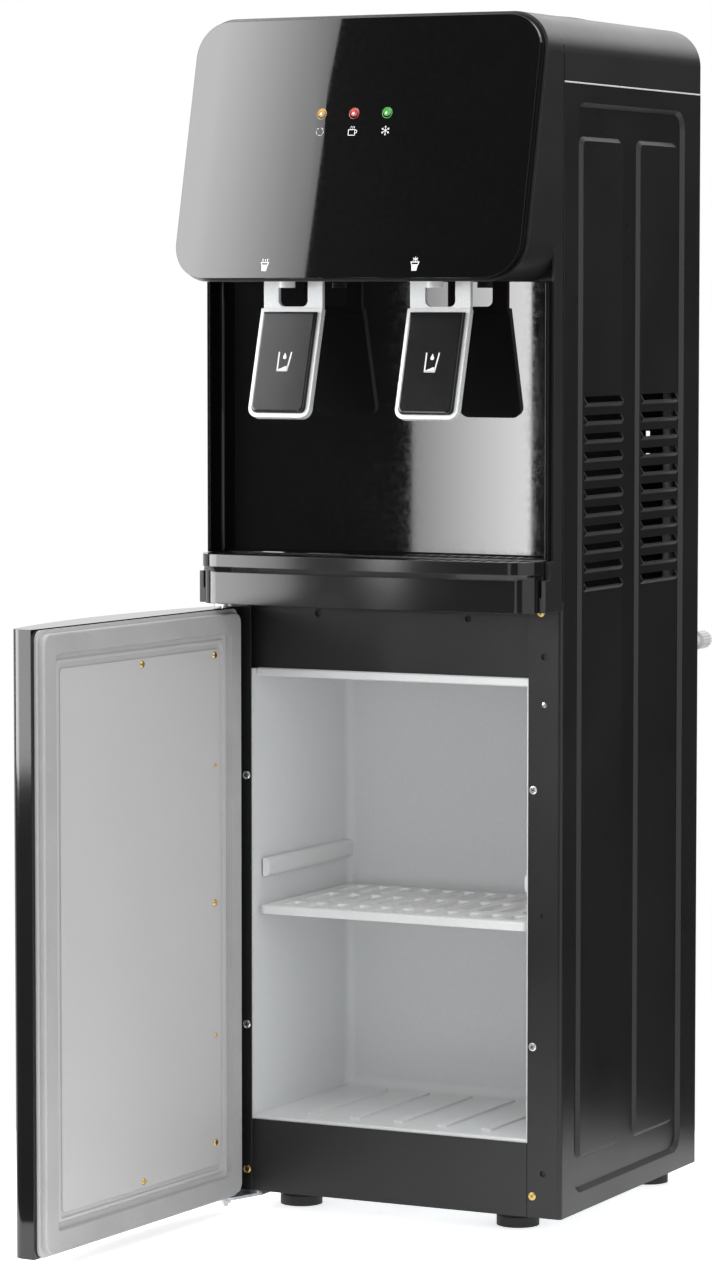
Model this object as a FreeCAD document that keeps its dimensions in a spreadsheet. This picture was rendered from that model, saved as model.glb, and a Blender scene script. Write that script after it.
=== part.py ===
import FreeCAD, Part
import math
import os
import re
import Sketcher

# Floor-standing water cooler with a refrigerated cabinet under the taps.
# X runs to the right, Y to the back and Z up.  The origin lies on the floor, under the middle of
# the plane in which the cabinet's front flanges stand.  Lengths are in millimetres.

SIZES = [
    # steel cabinet
    ("half_width", 155.0),
    ("cabinet_depth", 283.4),
    ("cabinet_base", 15.0),
    ("panel_over", 157.5),
    ("panel_top", "=head_bottom + panel_over"),
    ("sheet_thickness", 1.2),
    ("bend_radius", 3.5),
    ("opening_half", 125.4),
    ("rear_flange", 26.0),
    # pressed field of each side panel, with two raised panels inside it
    ("field_front", 25.5),
    ("field_margin", 36.4),
    ("field_rear", "=cabinet_depth - field_margin"),
    ("field_bottom", 31.0),
    ("field_top", "=panel_top - 15.5"),
    ("field_corner", 15.0),
    ("field_depth", 3.5),
    ("press_angle", 45.0),
    ("raised_front", 36.0),
    ("raised_gap", 30.8),
    ("raised_width", "=(field_rear - raised_front - raised_gap - 11.2) / 2"),
    ("raised_pitch", "=raised_width + raised_gap"),
    ("raised_bottom", 57.0),
    ("raised_top", "=field_top - 27"),
    ("raised_corner", 8.0),
    ("raised_height", 3.0),
    # louvres pressed through the raised panels
    ("louvre_margin", 6.5),
    ("louvre_length", "=raised_width - 11.5"),
    ("louvre_bottom", "=deck_height + 17"),
    ("louvre_pitch", 14.8),
    ("louvre_opening", 6.0),
    ("louvre_rise", 3.0),
    ("louvre_reach", 2.5),
    ("louvre_metal", 0.9),
    # fixings of the front flanges
    ("hole_line", 139.2),
    ("hole_radius", 2.5),
    ("screw_line", 129.7),
    ("top_screw_x", 136.0),
    ("top_screw_z", "=deck_height + 3"),
    ("screw_head_radius", 3.4),
    ("screw_head_height", 0.6),
    ("screw_shank_radius", 1.8),
    ("screw_length", 3.0),
    # base pan, kick plate, crossbeam and decks
    ("pan_rim", 14.0),
    ("kick_top", 74.9),
    ("kick_gap", 0.5),
    ("kick_return", 20.0),
    ("beam_front", 8.7),
    ("beam_height", 51.0),
    ("beam_bottom", "=deck_height - beam_height"),
    ("beam_return", 14.0),
    ("deck_height", 500.0),
    ("tank_deck_height", "=head_bottom + 10"),
    ("tank_deck_rear", "=cabinet_depth - 43.4"),
    # feet
    ("foot_radius", 17.5),
    ("foot_disc", 8.0),
    ("foot_neck", 10.0),
    ("stud_radius", 4.0),
    ("front_foot_x", 99.3),
    ("front_foot_y", 39.5),
    ("rear_foot_x", 122.0),
    ("rear_foot_y", "=cabinet_depth - 28.4"),
    # refrigerated compartment
    ("liner_half_front", 124.0),
    ("liner_half_rear", 121.0),
    ("liner_rear", "=cabinet_depth - 114.4"),
    ("liner_floor", 78.0),
    ("liner_wall", 2.0),
    ("liner_corner", 8.0),
    ("rib_width", 9.0),
    ("rib_height", 2.0),
    ("rib_pitch", 39.7),
    ("rail_bottom", 275.5),
    ("rail_height", 15.2),
    ("rest_height", 6.5),
    ("rail_proud", 5.0),
    ("rail_front", 14.0),
    ("foam_rear", "=liner_rear + 44"),
    # shelf
    ("shelf_bottom", 245.5),
    ("shelf_thickness", 7.3),
    ("shelf_half", 120.4),
    ("shelf_front", 6.0),
    ("shelf_depth", "=liner_rear - 8"),
    ("shelf_skin", 2.8),
    ("shelf_pitch", 20.0),
    ("shelf_slot", 11.0),
    # door, drawn closed
    ("hinge_x", -142.0),
    ("hinge_y", -15.0),
    ("pin_radius", 2.4),
    ("pin_clearance", 0.06),
    ("bush_radius", 5.0),
    ("bush_length", 10.0),
    ("door_open", 93.0),
    ("door_half", 153.0),
    ("door_bottom", 12.0),
    ("door_top", "=deck_height"),
    ("door_back", -8.5),
    ("door_front", -45.0),
    ("door_bow", 18.0),
    ("door_corner", 9.0),
    ("door_wall", 2.5),
    ("door_return", 1.5),
    ("gasket_half", 146.0),
    ("gasket_bottom", 15.0),
    ("gasket_top", "=door_top - 4"),
    ("gasket_band", 16.0),
    ("gasket_face", -0.8),
    ("inner_panel_gauge", 2.0),
    ("inner_panel_step", 1.4),
    ("plate_gauge", 2.0),
    ("lower_plate_bottom", 9.0),
    ("pin_low_end", 3.0),
    # head, fascia and niche
    ("niche_rise", 266.0),
    ("head_bottom", "=deck_height + niche_rise"),
    ("head_height", 211.5),
    ("head_top", "=head_bottom + head_height"),
    ("head_corner", 31.0),
    ("head_wall", 2.5),
    ("lean_angle", 13.3),
    ("lean_height", "=head_bottom + 183"),
    ("lean_front", -40.0),
    ("fascia_bow", 8.0),
    ("fascia_inset", 2.6),
    ("fascia_gauge", 9.0),
    ("pillar_depth", 17.0),
    ("cheek_depth", 24.0),
    ("panel_gauge", 2.3),
    ("niche_half", 150.0),
    ("foot_depth", 25.5),
    ("foot_inner", 151.3),
    ("ledge_inner", 149.8),
    ("ledge_depth", 33.0),
    ("ledge_top", "=tray_bottom + 12"),
    # drip tray and grille
    ("tray_bottom", "=deck_height + 5"),
    ("tray_height", 40.5),
    ("tray_top", "=tray_bottom + tray_height"),
    ("tray_half", 151.0),
    ("tray_front", -58.0),
    ("tray_bow", 7.0),
    ("tray_corner", 24.0),
    ("band_height", 14.5),
    ("band_bottom", "=tray_top - band_height"),
    ("band_chamfer", 4.5),
    ("lower_half", 149.4),
    ("lower_front", -52.5),
    ("tray_gap", 0.3),
    ("tray_wall", 3.0),
    ("grille_seat", 4.5),
    ("grille_gauge", 3.5),
    ("grille_rim", 4.0),
    ("grille_slot", 5.0),
    ("grille_pitch", 10.0),
    # taps
    ("tap_offset", 65.6),
    ("pivot_y", -37.0),
    ("pivot_z", "=head_bottom + 11"),
    ("lever_pin_radius", 2.0),
    ("lever_gauge", 4.0),
    ("lever_half", 26.5),
    ("window_half", 13.2),
    ("window_bottom", "=pivot_z - 31"),
    ("paddle_top", "=pivot_z - 34"),
    ("paddle_length", 90.5),
    ("paddle_half", 27.5),
    ("paddle_gauge", 6.0),
    ("paddle_lean", 16.0),
    ("paddle_corner", 8.0),
    ("paddle_rim", 3.5),
    ("pad_proud", 1.6),
    ("nozzle_y", -50.5),
    ("nozzle_radius", 7.0),
    ("nozzle_bottom", "=pivot_z - 16"),
    ("bore_radius", 3.5),
    ("tap_body_half", 12.7),
    ("spring_radius", 3.4),
    ("spring_wire", 0.5),
    ("spring_coils", 5.0),
    # indicator lenses
    ("lens_radius", 3.25),
    ("lens_pitch", 29.0),
    ("lens_height", "=head_bottom + 131.5"),
    ("lens_proud", 0.6),
    ("board_depth", 16.0),
    ("board_length", 100.0),
    ("board_width", 34.0),
    ("board_gauge", 1.6),
    # bottle receiver and tanks
    ("bottle_y", "=cabinet_depth / 2 - 0.7"),
    ("receiver_radius", 100.0),
    ("receiver_rim", 6.0),
    ("receiver_wall", 3.0),
    ("receiver_depth", 38.0),
    ("receiver_throat", 24.0),
    ("spike_radius", 9.0),
    ("spike_top", "=head_top + 6.5"),
    ("cold_radius", 62.0),
    ("cold_bottom", "=tank_deck_height + 24"),
    ("cold_top", "=panel_top - 1.5"),
    ("cold_foam", 20.0),
    ("coil_wire", 3.2),
    ("hot_radius", 40.0),
    ("hot_y", 110.0),
    ("hot_bottom", "=tank_deck_height - hot_height - 8"),
    ("hot_height", 88.0),
    ("hot_foam", 8.0),
    ("hose_radius", 4.6),
    ("hose_rear_y", "=cabinet_depth - 33.4"),
    ("suction_x", 60.0),
    # refrigeration circuit
    ("compressor_x", 10.0),
    ("compressor_y", "=cabinet_depth - 118.4"),
    ("compressor_radius", 68.0),
    ("compressor_height", 150.0),
    ("grommet_height", 12.0),
    ("condenser_y", "=cabinet_depth - 9.4"),
    ("condenser_half", 100.0),
    ("condenser_bottom", 70.0),
    ("condenser_pitch", "=(deck_height - condenser_bottom - 10) / 14"),
    ("condenser_tube", 2.4),
    ("condenser_wire", 0.8),
    # rear fittings
    ("rear_cover_half", 145.0),
    ("rear_cover_bottom", "=deck_height + 8"),
    ("vent_width", 4.0),
    ("vent_height", 50.0),
    ("vent_pitch", 12.0),
    ("switch_x", 38.0),
    ("switch_z", "=head_bottom - 21"),
    ("rocker_half_width", 6.5),
    ("rocker_half_height", 10.0),
    ("inlet_x", -40.0),
    ("drain_x", 140.0),
    ("drain_z", "=deck_height - 40"),
    ("drain_pipe_radius", 5.0),
    ("drain_end", "=cabinet_depth + 40.6"),
    ("cap_radius", 7.75),
    ("cap_length", 18.0),
    ("cap_clearance", 0.1),
]
LOUVRE_ROWS = 11
SILVER_HEIGHTS = ["360.7", "153.5"]
BRASS_HEIGHTS = ["32.3"]
CONDENSER_RUNS = 14
V = FreeCAD.Vector

doc = FreeCAD.newDocument("water_cooler")
sheet = doc.addObject("Spreadsheet::Sheet", "Sizes")
for row, (alias, value) in enumerate(SIZES, 1):
    sheet.set("A%d" % row, alias)
    sheet.setAlias("B%d" % row, alias)
for row, (alias, value) in enumerate(SIZES, 1):
    sheet.set("B%d" % row, str(value))
doc.recompute()
ALIASES = {alias for alias, value in SIZES}
NODES = []


def ex(text):
    """Expression in which each size is named as a cell of the sheet."""
    return re.sub(r"[a-z_][a-z_0-9]*",
                  lambda word: "Sizes." + word.group() if word.group() in ALIASES else word.group(),
                  str(text))


def num(text):
    """Number that an expression has with the sheet's present sizes."""
    return float(sheet.evalExpression(ex(text)))


def point(x, y, z):
    return V(num(x), num(y), num(z))


def bind(thing, **sizes):
    for name, text in sizes.items():
        thing.setExpression(name, ex(text))


def put(thing, x="0", y="0", z="0"):
    for letter, text in zip("xyz", (x, y, z)):
        thing.setExpression(".Placement.Base." + letter, ex(text))
    return thing


def node(label, thing):
    thing.Label = label
    NODES.append(thing)
    return thing


# ---- primitives and booleans -------------------------------------------------------------

TURNS = {"Z": FreeCAD.Rotation(),
         "Y": FreeCAD.Rotation(V(1, 0, 0), -90),
         "X": FreeCAD.Rotation(V(0, 1, 0), 90)}


def box(name, x0, x1, y0, y1, z0, z1):
    """Block between two planes in each direction."""
    thing = doc.addObject("Part::Box", name)
    bind(thing, Length=f"({x1}) - ({x0})", Width=f"({y1}) - ({y0})", Height=f"({z1}) - ({z0})")
    return put(thing, x0, y0, z0)


def rod(name, x, y, z, radius, length, axis="Z"):
    """Cylinder that starts at a point and runs along an axis."""
    thing = doc.addObject("Part::Cylinder", name)
    bind(thing, Radius=radius, Height=length)
    thing.Placement = FreeCAD.Placement(V(), TURNS[axis])
    return put(thing, x, y, z)


def taper(name, x, y, z, low, high, length, axis="Z"):
    thing = doc.addObject("Part::Cone", name)
    bind(thing, Radius1=low, Radius2=high, Height=length)
    thing.Placement = FreeCAD.Placement(V(), TURNS[axis])
    return put(thing, x, y, z)


def fuse(name, *parts):
    thing = doc.addObject("Part::MultiFuse", name)
    thing.Shapes = list(parts)
    thing.Refine = True
    return thing


def cut(name, base, *tools):
    tool = tools[0]
    if len(tools) > 1:
        tool = fuse(name + "_tools", *tools)
    thing = doc.addObject("Part::Cut", name)
    thing.Base = base
    thing.Tool = tool
    thing.Refine = True
    return thing


def common(name, first, second):
    thing = doc.addObject("Part::Common", name)
    thing.Base = first
    thing.Tool = second
    return thing


def group(name, *parts):
    """Separate solids that share one node."""
    thing = doc.addObject("Part::Compound", name)
    thing.Links = list(parts)
    return thing


def edge_numbers(shape, spots):
    """Numbers of the edges that pass through the given points."""
    found = []
    for spot in spots:
        vertex = Part.Vertex(point(*spot))
        for k, edge in enumerate(shape.Edges, 1):
            if k not in found and edge.distToShape(vertex)[0] < 1e-3:
                found.append(k)
    if len(found) < len(spots):
        raise ValueError("an edge to be rounded is missing")
    return found


def rounded(name, base, radius, spots):
    doc.recompute()
    thing = doc.addObject("Part::Fillet", name)
    thing.Base = base
    size = num(radius)
    thing.Edges = [(k, size, size) for k in edge_numbers(base.Shape, spots)]
    return thing


def solid(name, shape):
    """Shape made from the sheet's sizes with the modelling functions themselves."""
    thing = doc.addObject("Part::Feature", name)
    thing.Shape = shape
    return thing


# ---- sketched bodies ---------------------------------------------------------------------

PLANES = {"X": "YZ_Plane", "Y": "XZ_Plane", "Z": "XY_Plane"}


def body(label):
    return node(label, doc.addObject("PartDesign::Body", label))


class Drawing:
    """Lines, arcs and constraints of one sketch, collected and then added together."""

    def __init__(self):
        self.geometry = []
        self.rules = []

    def shape(self, *pieces):
        """Add pieces of geometry and return the number of the first."""
        self.geometry.extend(pieces)
        return len(self.geometry) - len(pieces)

    def rule(self, *terms):
        self.rules.append((Sketcher.Constraint(*terms), None))

    def size(self, text, kind, *terms):
        """Constraint whose value is bound to an expression."""
        self.rules.append((Sketcher.Constraint(kind, *terms, num(text)), text))

    def place(self, geometry, end, x, y):
        """Hold a point at bound distances from the sketch's origin."""
        self.size(x, "DistanceX", -1, 1, geometry, end)
        self.size(y, "DistanceY", -1, 1, geometry, end)

    def write(self, sketch):
        sketch.addGeometry(self.geometry, False)
        sketch.addConstraint([constraint for constraint, text in self.rules])
        for number, (constraint, text) in enumerate(self.rules):
            if text:
                sketch.setExpression("Constraints[%d]" % number, ex(text))


def polygon(*corners):
    def draw(drawing):
        spots = [V(num(x), num(y), 0) for x, y in corners]
        count = len(corners)
        first = drawing.shape(*[Part.LineSegment(spots[k], spots[(k + 1) % count])
                                for k in range(count)])
        for k, (x, y) in enumerate(corners):
            drawing.rule("Coincident", first + k, 2, first + (k + 1) % count, 1)
            drawing.place(first + k, 1, x, y)
    return draw


def oblong(x0, x1, y0, y1):
    return polygon((x0, y0), (x1, y0), (x1, y1), (x0, y1))


def circle(x, y, radius):
    def draw(drawing):
        ring = drawing.shape(Part.Circle(V(num(x), num(y), 0), V(0, 0, 1), num(radius)))
        drawing.place(ring, 3, x, y)
        drawing.size(radius, "Radius", ring)
    return draw


def round_oblong(x0, x1, y0, y1, radius):
    """Oblong whose four corners are equal arcs."""
    def draw(drawing):
        left, right, low, high, r = num(x0), num(x1), num(y0), num(y1), num(radius)
        ends = [(V(left + r, low, 0), V(right - r, low, 0)),
                (V(right, low + r, 0), V(right, high - r, 0)),
                (V(right - r, high, 0), V(left + r, high, 0)),
                (V(left, high - r, 0), V(left, low + r, 0))]
        centres = [V(right - r, low + r, 0), V(right - r, high - r, 0),
                   V(left + r, high - r, 0), V(left + r, low + r, 0)]
        base = drawing.shape(*[Part.LineSegment(start, end) for start, end in ends])
        drawing.shape(*[Part.ArcOfCircle(Part.Circle(centre, V(0, 0, 1), r),
                                         (k - 1) * math.pi / 2, k * math.pi / 2)
                        for k, centre in enumerate(centres)])
        for k in range(4):
            drawing.rule("Tangent", base + k, 2, base + 4 + k, 1)
            drawing.rule("Tangent", base + 4 + k, 2, base + (k + 1) % 4, 1)
            drawing.rule("Vertical" if k % 2 else "Horizontal", base + k)
        for k in range(3):
            drawing.rule("Equal", base + 4, base + 5 + k)
        drawing.size(y0, "DistanceY", -1, 1, base, 1)
        drawing.size(x1, "DistanceX", -1, 1, base + 1, 1)
        drawing.size(y1, "DistanceY", -1, 1, base + 2, 1)
        drawing.size(x0, "DistanceX", -1, 1, base + 3, 1)
        drawing.size(radius, "Radius", base + 4)
    return draw


def several(*drawings):
    def draw(drawing):
        for one in drawings:
            one(drawing)
    return draw


def sketch_on(owner, axis, at, draw):
    """Sketch on the body's own origin plane square to an axis, moved along that axis."""
    sketch = owner.newObject("Sketcher::SketchObject", "Sketch")
    plane = [part for part in owner.Origin.OriginFeatures if part.Role == PLANES[axis]][0]
    sketch.AttachmentSupport = [(plane, "")]
    sketch.MapMode = "FlatFace"
    offset = f"-({at})" if axis == "Y" else at
    sketch.setExpression(".AttachmentOffset.Base.z", ex(offset))
    drawing = Drawing()
    draw(drawing)
    drawing.write(sketch)
    return sketch


def add(owner, axis, at, length, draw, way=1, slope=None):
    """Pad from a plane, forwards or backwards along an axis."""
    pad = owner.newObject("PartDesign::Pad", "Pad")
    pad.Profile = sketch_on(owner, axis, at, draw)
    bind(pad, Length=length)
    pad.Reversed = (way < 0) != (axis == "Y")
    if slope:
        bind(pad, TaperAngle=slope)
    doc.recompute()
    return pad


def remove(owner, axis, at, length, draw, way=1, slope=None):
    """Pocket from a plane, forwards or backwards along an axis; it has to take material."""
    before = owner.Shape.Volume
    pocket = owner.newObject("PartDesign::Pocket", "Pocket")
    pocket.Profile = sketch_on(owner, axis, at, draw)
    bind(pocket, Length=length)
    pocket.Reversed = (way > 0) != (axis == "Y")
    if slope:
        bind(pocket, TaperAngle=slope)
    doc.recompute()
    if owner.Shape.Volume > before - 0.01:
        raise ValueError("a pocket of " + owner.Label + " takes nothing")
    return pocket


def repeat(owner, feature, pitch, count):
    """Repeat a feature in a row along the first axis of its own sketch."""
    row = owner.newObject("PartDesign::LinearPattern", "LinearPattern")
    row.Originals = [feature]
    row.Direction = (feature.Profile[0], ["H_Axis"])
    bind(row, Length=f"{count - 1} * {pitch}")
    row.Occurrences = count
    owner.Tip = row
    doc.recompute()
    return row


def soften(owner, radius, spots, kind="Fillet"):
    """Fillet or chamfer on the edges through the given points."""
    base = owner.Tip
    feature = owner.newObject("PartDesign::" + kind, kind)
    feature.Base = (base, ["Edge%d" % k for k in edge_numbers(base.Shape, spots)])
    feature.setExpression("Radius" if kind == "Fillet" else "Size", ex(radius))
    doc.recompute()
    return feature


# ---- round wire and tube -----------------------------------------------------------------

def bent_path(spots, bends):
    """Straight runs joined by tangent arcs of the given radii."""
    edges = []
    start = spots[0]
    for k in range(1, len(spots) - 1):
        corner = spots[k]
        back = (spots[k - 1] - corner).normalize()
        ahead = (spots[k + 1] - corner).normalize()
        half = back.getAngle(ahead) / 2
        reach = bends[k - 1] / math.tan(half)
        inward = (back + ahead).normalize()
        centre = corner + inward * (bends[k - 1] / math.sin(half))
        first = corner + back * reach
        last = corner + ahead * reach
        middle = centre - inward * bends[k - 1]
        edges.append(Part.LineSegment(start, first).toShape())
        edges.append(Part.Arc(first, middle, last).toShape())
        start = last
    edges.append(Part.LineSegment(start, spots[-1]).toShape())
    return Part.Wire(edges)


def tube_shape(spots, radius, bend, bore=0.0):
    """Tube along bent runs; every bend has the same radius."""
    path = bent_path(spots, [bend] * (len(spots) - 2))
    heading = spots[1] - spots[0]
    ring = Part.Wire(Part.makeCircle(radius, spots[0], heading))
    tube = path.makePipeShell([ring], True, False)
    if bore:
        hole = Part.Wire(Part.makeCircle(bore, spots[0], heading))
        tube = tube.cut(path.makePipeShell([hole], True, False))
    return tube


def coil_shape(centre, radius, wire, height, coils, axis=V(0, 0, 1)):
    """Helical spring or winding, swept along a true helix."""
    helix = Part.makeHelix(height / coils, height, radius)
    ring = Part.Wire(Part.makeCircle(wire, V(radius, 0, 0), V(0, 1, 0)))
    coil = Part.Wire(helix).makePipeShell([ring], True, True)
    coil.Placement = FreeCAD.Placement(centre, FreeCAD.Rotation(V(0, 0, 1), axis))
    return coil


# ---- side panels -------------------------------------------------------------------------

SKIN = "half_width - sheet_thickness"
FIELD = "half_width - field_depth"
RAISED = "half_width - field_depth + raised_height"
INNER = "half_width - sheet_thickness - field_depth"
SPAN = "panel_top - cabinet_base"

side = body("side_panel_right")
add(side, "X", SKIN, "sheet_thickness",
    oblong("0", "cabinet_depth", "cabinet_base", "panel_top"))
field = round_oblong("field_front", "field_rear", "field_bottom", "field_top", "field_corner")
add(side, "X", SKIN, "field_depth", field, way=-1, slope="-press_angle")
remove(side, "X", "half_width", "field_depth", field, way=-1, slope="-press_angle")
for start in ("raised_front", "raised_front + raised_pitch"):
    raised = round_oblong(start, f"{start} + raised_width", "raised_bottom", "raised_top",
                          "raised_corner")
    add(side, "X", FIELD, "raised_height", raised, slope="-press_angle")
    remove(side, "X", INNER, "raised_height", raised, slope="-press_angle")
add(side, "Z", "cabinet_base", SPAN,
    oblong("opening_half", "half_width", "0", "sheet_thickness"))
add(side, "Z", "cabinet_base", SPAN,
    oblong("half_width - rear_flange", "half_width", "cabinet_depth - sheet_thickness",
           "cabinet_depth"))
middle = "(cabinet_base + panel_top) / 2"
soften(side, "bend_radius", [("half_width", "0", middle), ("half_width", "cabinet_depth", middle)])

columns = [f"raised_front + louvre_margin + {k} * raised_pitch" for k in range(2)]
rows = [f"louvre_bottom + {k} * louvre_pitch" for k in range(LOUVRE_ROWS)]
openings = [oblong(column, f"{column} + louvre_length", f"{row} + louvre_rise / 2",
                   f"{row} + louvre_rise + louvre_opening")
            for column in columns for row in rows]
remove(side, "X", "half_width", "field_depth + sheet_thickness", several(*openings), way=-1)
root = f"{RAISED} - louvre_metal / 2"
tip = f"{RAISED} + louvre_reach"
lips = [polygon((root, row), (tip, f"{row} + louvre_rise"),
                (tip, f"{row} + louvre_rise + louvre_metal"),
                (f"{tip} - louvre_metal", f"{row} + louvre_rise + louvre_metal"),
                (root, f"{row} + louvre_rise / 2"))
        for row in rows]
cheeks = [polygon((root, row), (tip, f"{row} + louvre_rise"),
                  (tip, f"{row} + louvre_rise + louvre_metal"),
                  (root, f"{row} + louvre_rise + louvre_opening"))
          for row in rows]
for column in columns:
    add(side, "Y", column, "louvre_length", several(*lips))
    add(side, "Y", column, "louvre_metal", several(*cheeks), way=-1)
    add(side, "Y", f"{column} + louvre_length", "louvre_metal", several(*cheeks))
remove(side, "X", "half_width", "field_depth + sheet_thickness",
       several(oblong("134.5", "136.5", "807", "812"), oblong("134.5", "136.5", "781", "786")),
       way=-1)
remove(side, "Y", "0", "sheet_thickness",
       several(*[circle("hole_line", height, "hole_radius")
                 for height in ("467.8", "429.4", "260", "51.3")],
               *[circle("screw_line", height, "screw_shank_radius")
                 for height in SILVER_HEIGHTS + BRASS_HEIGHTS],
               circle("top_screw_x", "top_screw_z", "screw_shank_radius")))
remove(side, "Y", "cabinet_depth", "sheet_thickness",
       circle("drain_x", "drain_z", "drain_pipe_radius"), way=-1)

mirrored = doc.addObject("Part::Mirroring", "mirrored_panel")
mirrored.Source = side
mirrored.Normal = V(1, 0, 0)
slot = box("hinge_slot", "-half_width + 4", "-opening_half + 1", "-1", "sheet_thickness + 1",
           "deck_height + 0.8", "deck_height + sheet_thickness + plate_gauge + 0.4")
node("side_panel_left", cut("side_panel_left", mirrored, slot))

# ---- base pan, kick plate, crossbeam, decks and rear sheet ---------------------------------

INSIDE_REAR = "cabinet_depth - sheet_thickness"
pan = body("base_pan")
add(pan, "Z", "cabinet_base", "pan_rim",
    oblong(f"-({SKIN})", SKIN, "sheet_thickness", INSIDE_REAR))
remove(pan, "Z", "cabinet_base + sheet_thickness", "pan_rim",
       oblong(f"-({SKIN}) + sheet_thickness", f"{SKIN} - sheet_thickness", "2 * sheet_thickness",
              f"{INSIDE_REAR} - sheet_thickness"))
foot_places = [(f"{side_sign}{along}", back)
               for along, back in (("front_foot_x", "front_foot_y"), ("rear_foot_x", "rear_foot_y"))
               for side_sign in ("-", "")]
remove(pan, "Z", "cabinet_base", "sheet_thickness",
       several(*[circle(x, y, "stud_radius + 0.1") for x, y in foot_places]))

kick = body("kick_plate")
add(kick, "X", "-opening_half + kick_gap", "2 * (opening_half - kick_gap)",
    polygon(("0", "cabinet_base"), ("sheet_thickness", "cabinet_base"),
            ("sheet_thickness", "kick_top - sheet_thickness"),
            ("kick_return", "kick_top - sheet_thickness"), ("kick_return", "kick_top"),
            ("0", "kick_top")))

beam = body("crossbeam")
add(beam, "X", f"-({SKIN})", f"2 * ({SKIN})",
    polygon(("beam_front", "beam_bottom"), ("beam_front + sheet_thickness", "beam_bottom"),
            ("beam_front + sheet_thickness", "deck_height - sheet_thickness"),
            ("beam_front + beam_return", "deck_height - sheet_thickness"),
            ("beam_front + beam_return", "deck_height"), ("beam_front", "deck_height")))
remove(beam, "Y", "beam_front", "sheet_thickness",
       several(*[circle(f"{sign}67.8", "deck_height - 4.3", "2.65") for sign in ("-", "")]))

deck = body("compressor_deck_form")
NODES.remove(deck)
add(deck, "Z", "deck_height", "sheet_thickness",
    oblong(f"-({INNER})", INNER, "beam_front", INSIDE_REAR))
soften(deck, "3", [(f"-({INNER})", INSIDE_REAR, "deck_height + sheet_thickness / 2"),
                   (INNER, INSIDE_REAR, "deck_height + sheet_thickness / 2")])
remove(deck, "Z", "deck_height", "sheet_thickness",
       several(circle("drain_x", "hose_rear_y", "hose_radius + 2.5"),
               circle("-condenser_half", "condenser_y", "condenser_tube + 2"),
               circle("suction_x", "hose_rear_y", "condenser_tube + 2")))

shelf_sheet = body("tank_deck_form")
NODES.remove(shelf_sheet)
add(shelf_sheet, "Z", "tank_deck_height", "sheet_thickness",
    oblong(f"-({INNER})", INNER, "field_front + 8", "tank_deck_rear"))

node("decks", group("decks", deck, shelf_sheet))
back = body("rear_panel_lower")
add(back, "Y", "foam_rear", "sheet_thickness",
    oblong(f"-({INNER})", INNER, "cabinet_base + sheet_thickness", "deck_height"))

# ---- feet ----------------------------------------------------------------------------------

feet = []
for k, (x, y) in enumerate(foot_places):
    feet.append(fuse("foot_%d" % k,
                     rod("foot_disc_%d" % k, x, y, "0", "foot_radius", "foot_disc"),
                     taper("foot_cone_%d" % k, x, y, "foot_disc", "foot_radius - 2", "foot_neck",
                           "cabinet_base - foot_disc"),
                     rod("foot_stud_%d" % k, x, y, "cabinet_base", "stud_radius", "8")))
node("feet", group("feet", *feet))

# ---- refrigerated compartment ---------------------------------------------------------------

LINER_TOP = "beam_bottom"


def liner_plan(wall, front):
    return polygon((f"-(liner_half_front + {wall})", front),
                   (f"liner_half_front + {wall}", front),
                   (f"liner_half_rear + {wall}", f"liner_rear + {wall}"),
                   (f"-(liner_half_rear + {wall})", f"liner_rear + {wall}"))


liner = body("fridge_liner")
add(liner, "Z", "kick_top", f"{LINER_TOP} + liner_wall - kick_top",
    liner_plan("liner_wall", "sheet_thickness"))
remove(liner, "Z", "liner_floor", f"{LINER_TOP} - liner_floor", liner_plan("0", "0"))
half_deep = "(sheet_thickness + liner_rear) / 2"
wall_there = "(liner_half_front + liner_half_rear) / 2"
corners = [(f"{sign}liner_half_rear", "liner_rear", "rail_bottom - 80") for sign in ("-", "")]
corners += [("0", "liner_rear", height) for height in ("liner_floor", LINER_TOP)]
soften(liner, "liner_corner", corners)
remove(liner, "Z", LINER_TOP, "liner_wall + 1",
       oblong("-half_width", "half_width", "0", "beam_front + sheet_thickness"))
add(liner, "Z", "liner_floor", "rib_height",
    several(*[oblong(f"{k} * rib_pitch - rib_width / 2", f"{k} * rib_pitch + rib_width / 2",
                     "20", "liner_rear - 16") for k in range(-2, 3)]))
for sign, way in (("-", 1), ("", -1)):
    for low, height, first in (("rail_bottom", "rail_height", "rail_front"),
                               ("shelf_bottom - 0.1 - rest_height", "rest_height", "50")):
        add(liner, "X", f"{sign}(liner_half_rear + liner_wall / 2)",
            "rail_proud + liner_wall / 2",
            oblong(first, "liner_rear", low, f"{low} + {height}"), way=way)
        nose = f"{sign}(liner_half_rear - rail_proud)"
        soften(liner, "rail_proud - 1",
               [(nose, "80", low)] + ([(nose, "80", f"{low} + rail_height")]
                                      if low == "rail_bottom" else []))

core = fuse("foam_blocks",
            box("foam_rear_block", f"-({INNER})", INNER, "kick_return + 1", "foam_rear",
                "cabinet_base + pan_rim + 1", "deck_height - sheet_thickness - 1"),
            box("foam_front_block", f"-({INNER})", INNER, "sheet_thickness + 1.8",
                "kick_return + 1", "kick_top + 0.5", "beam_bottom - 0.5"))
hollow = doc.addObject("PartDesign::Body", "liner_space")
add(hollow, "Z", "kick_top", f"{LINER_TOP} + liner_wall - kick_top",
    liner_plan("liner_wall", "sheet_thickness"))
beam_room = box("beam_room", "-half_width", "half_width", "0",
                "beam_front + beam_return + 0.5", "deck_height - 10", "deck_height + 5")
node("fridge_insulation", cut("fridge_insulation", core, hollow, beam_room))

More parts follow.
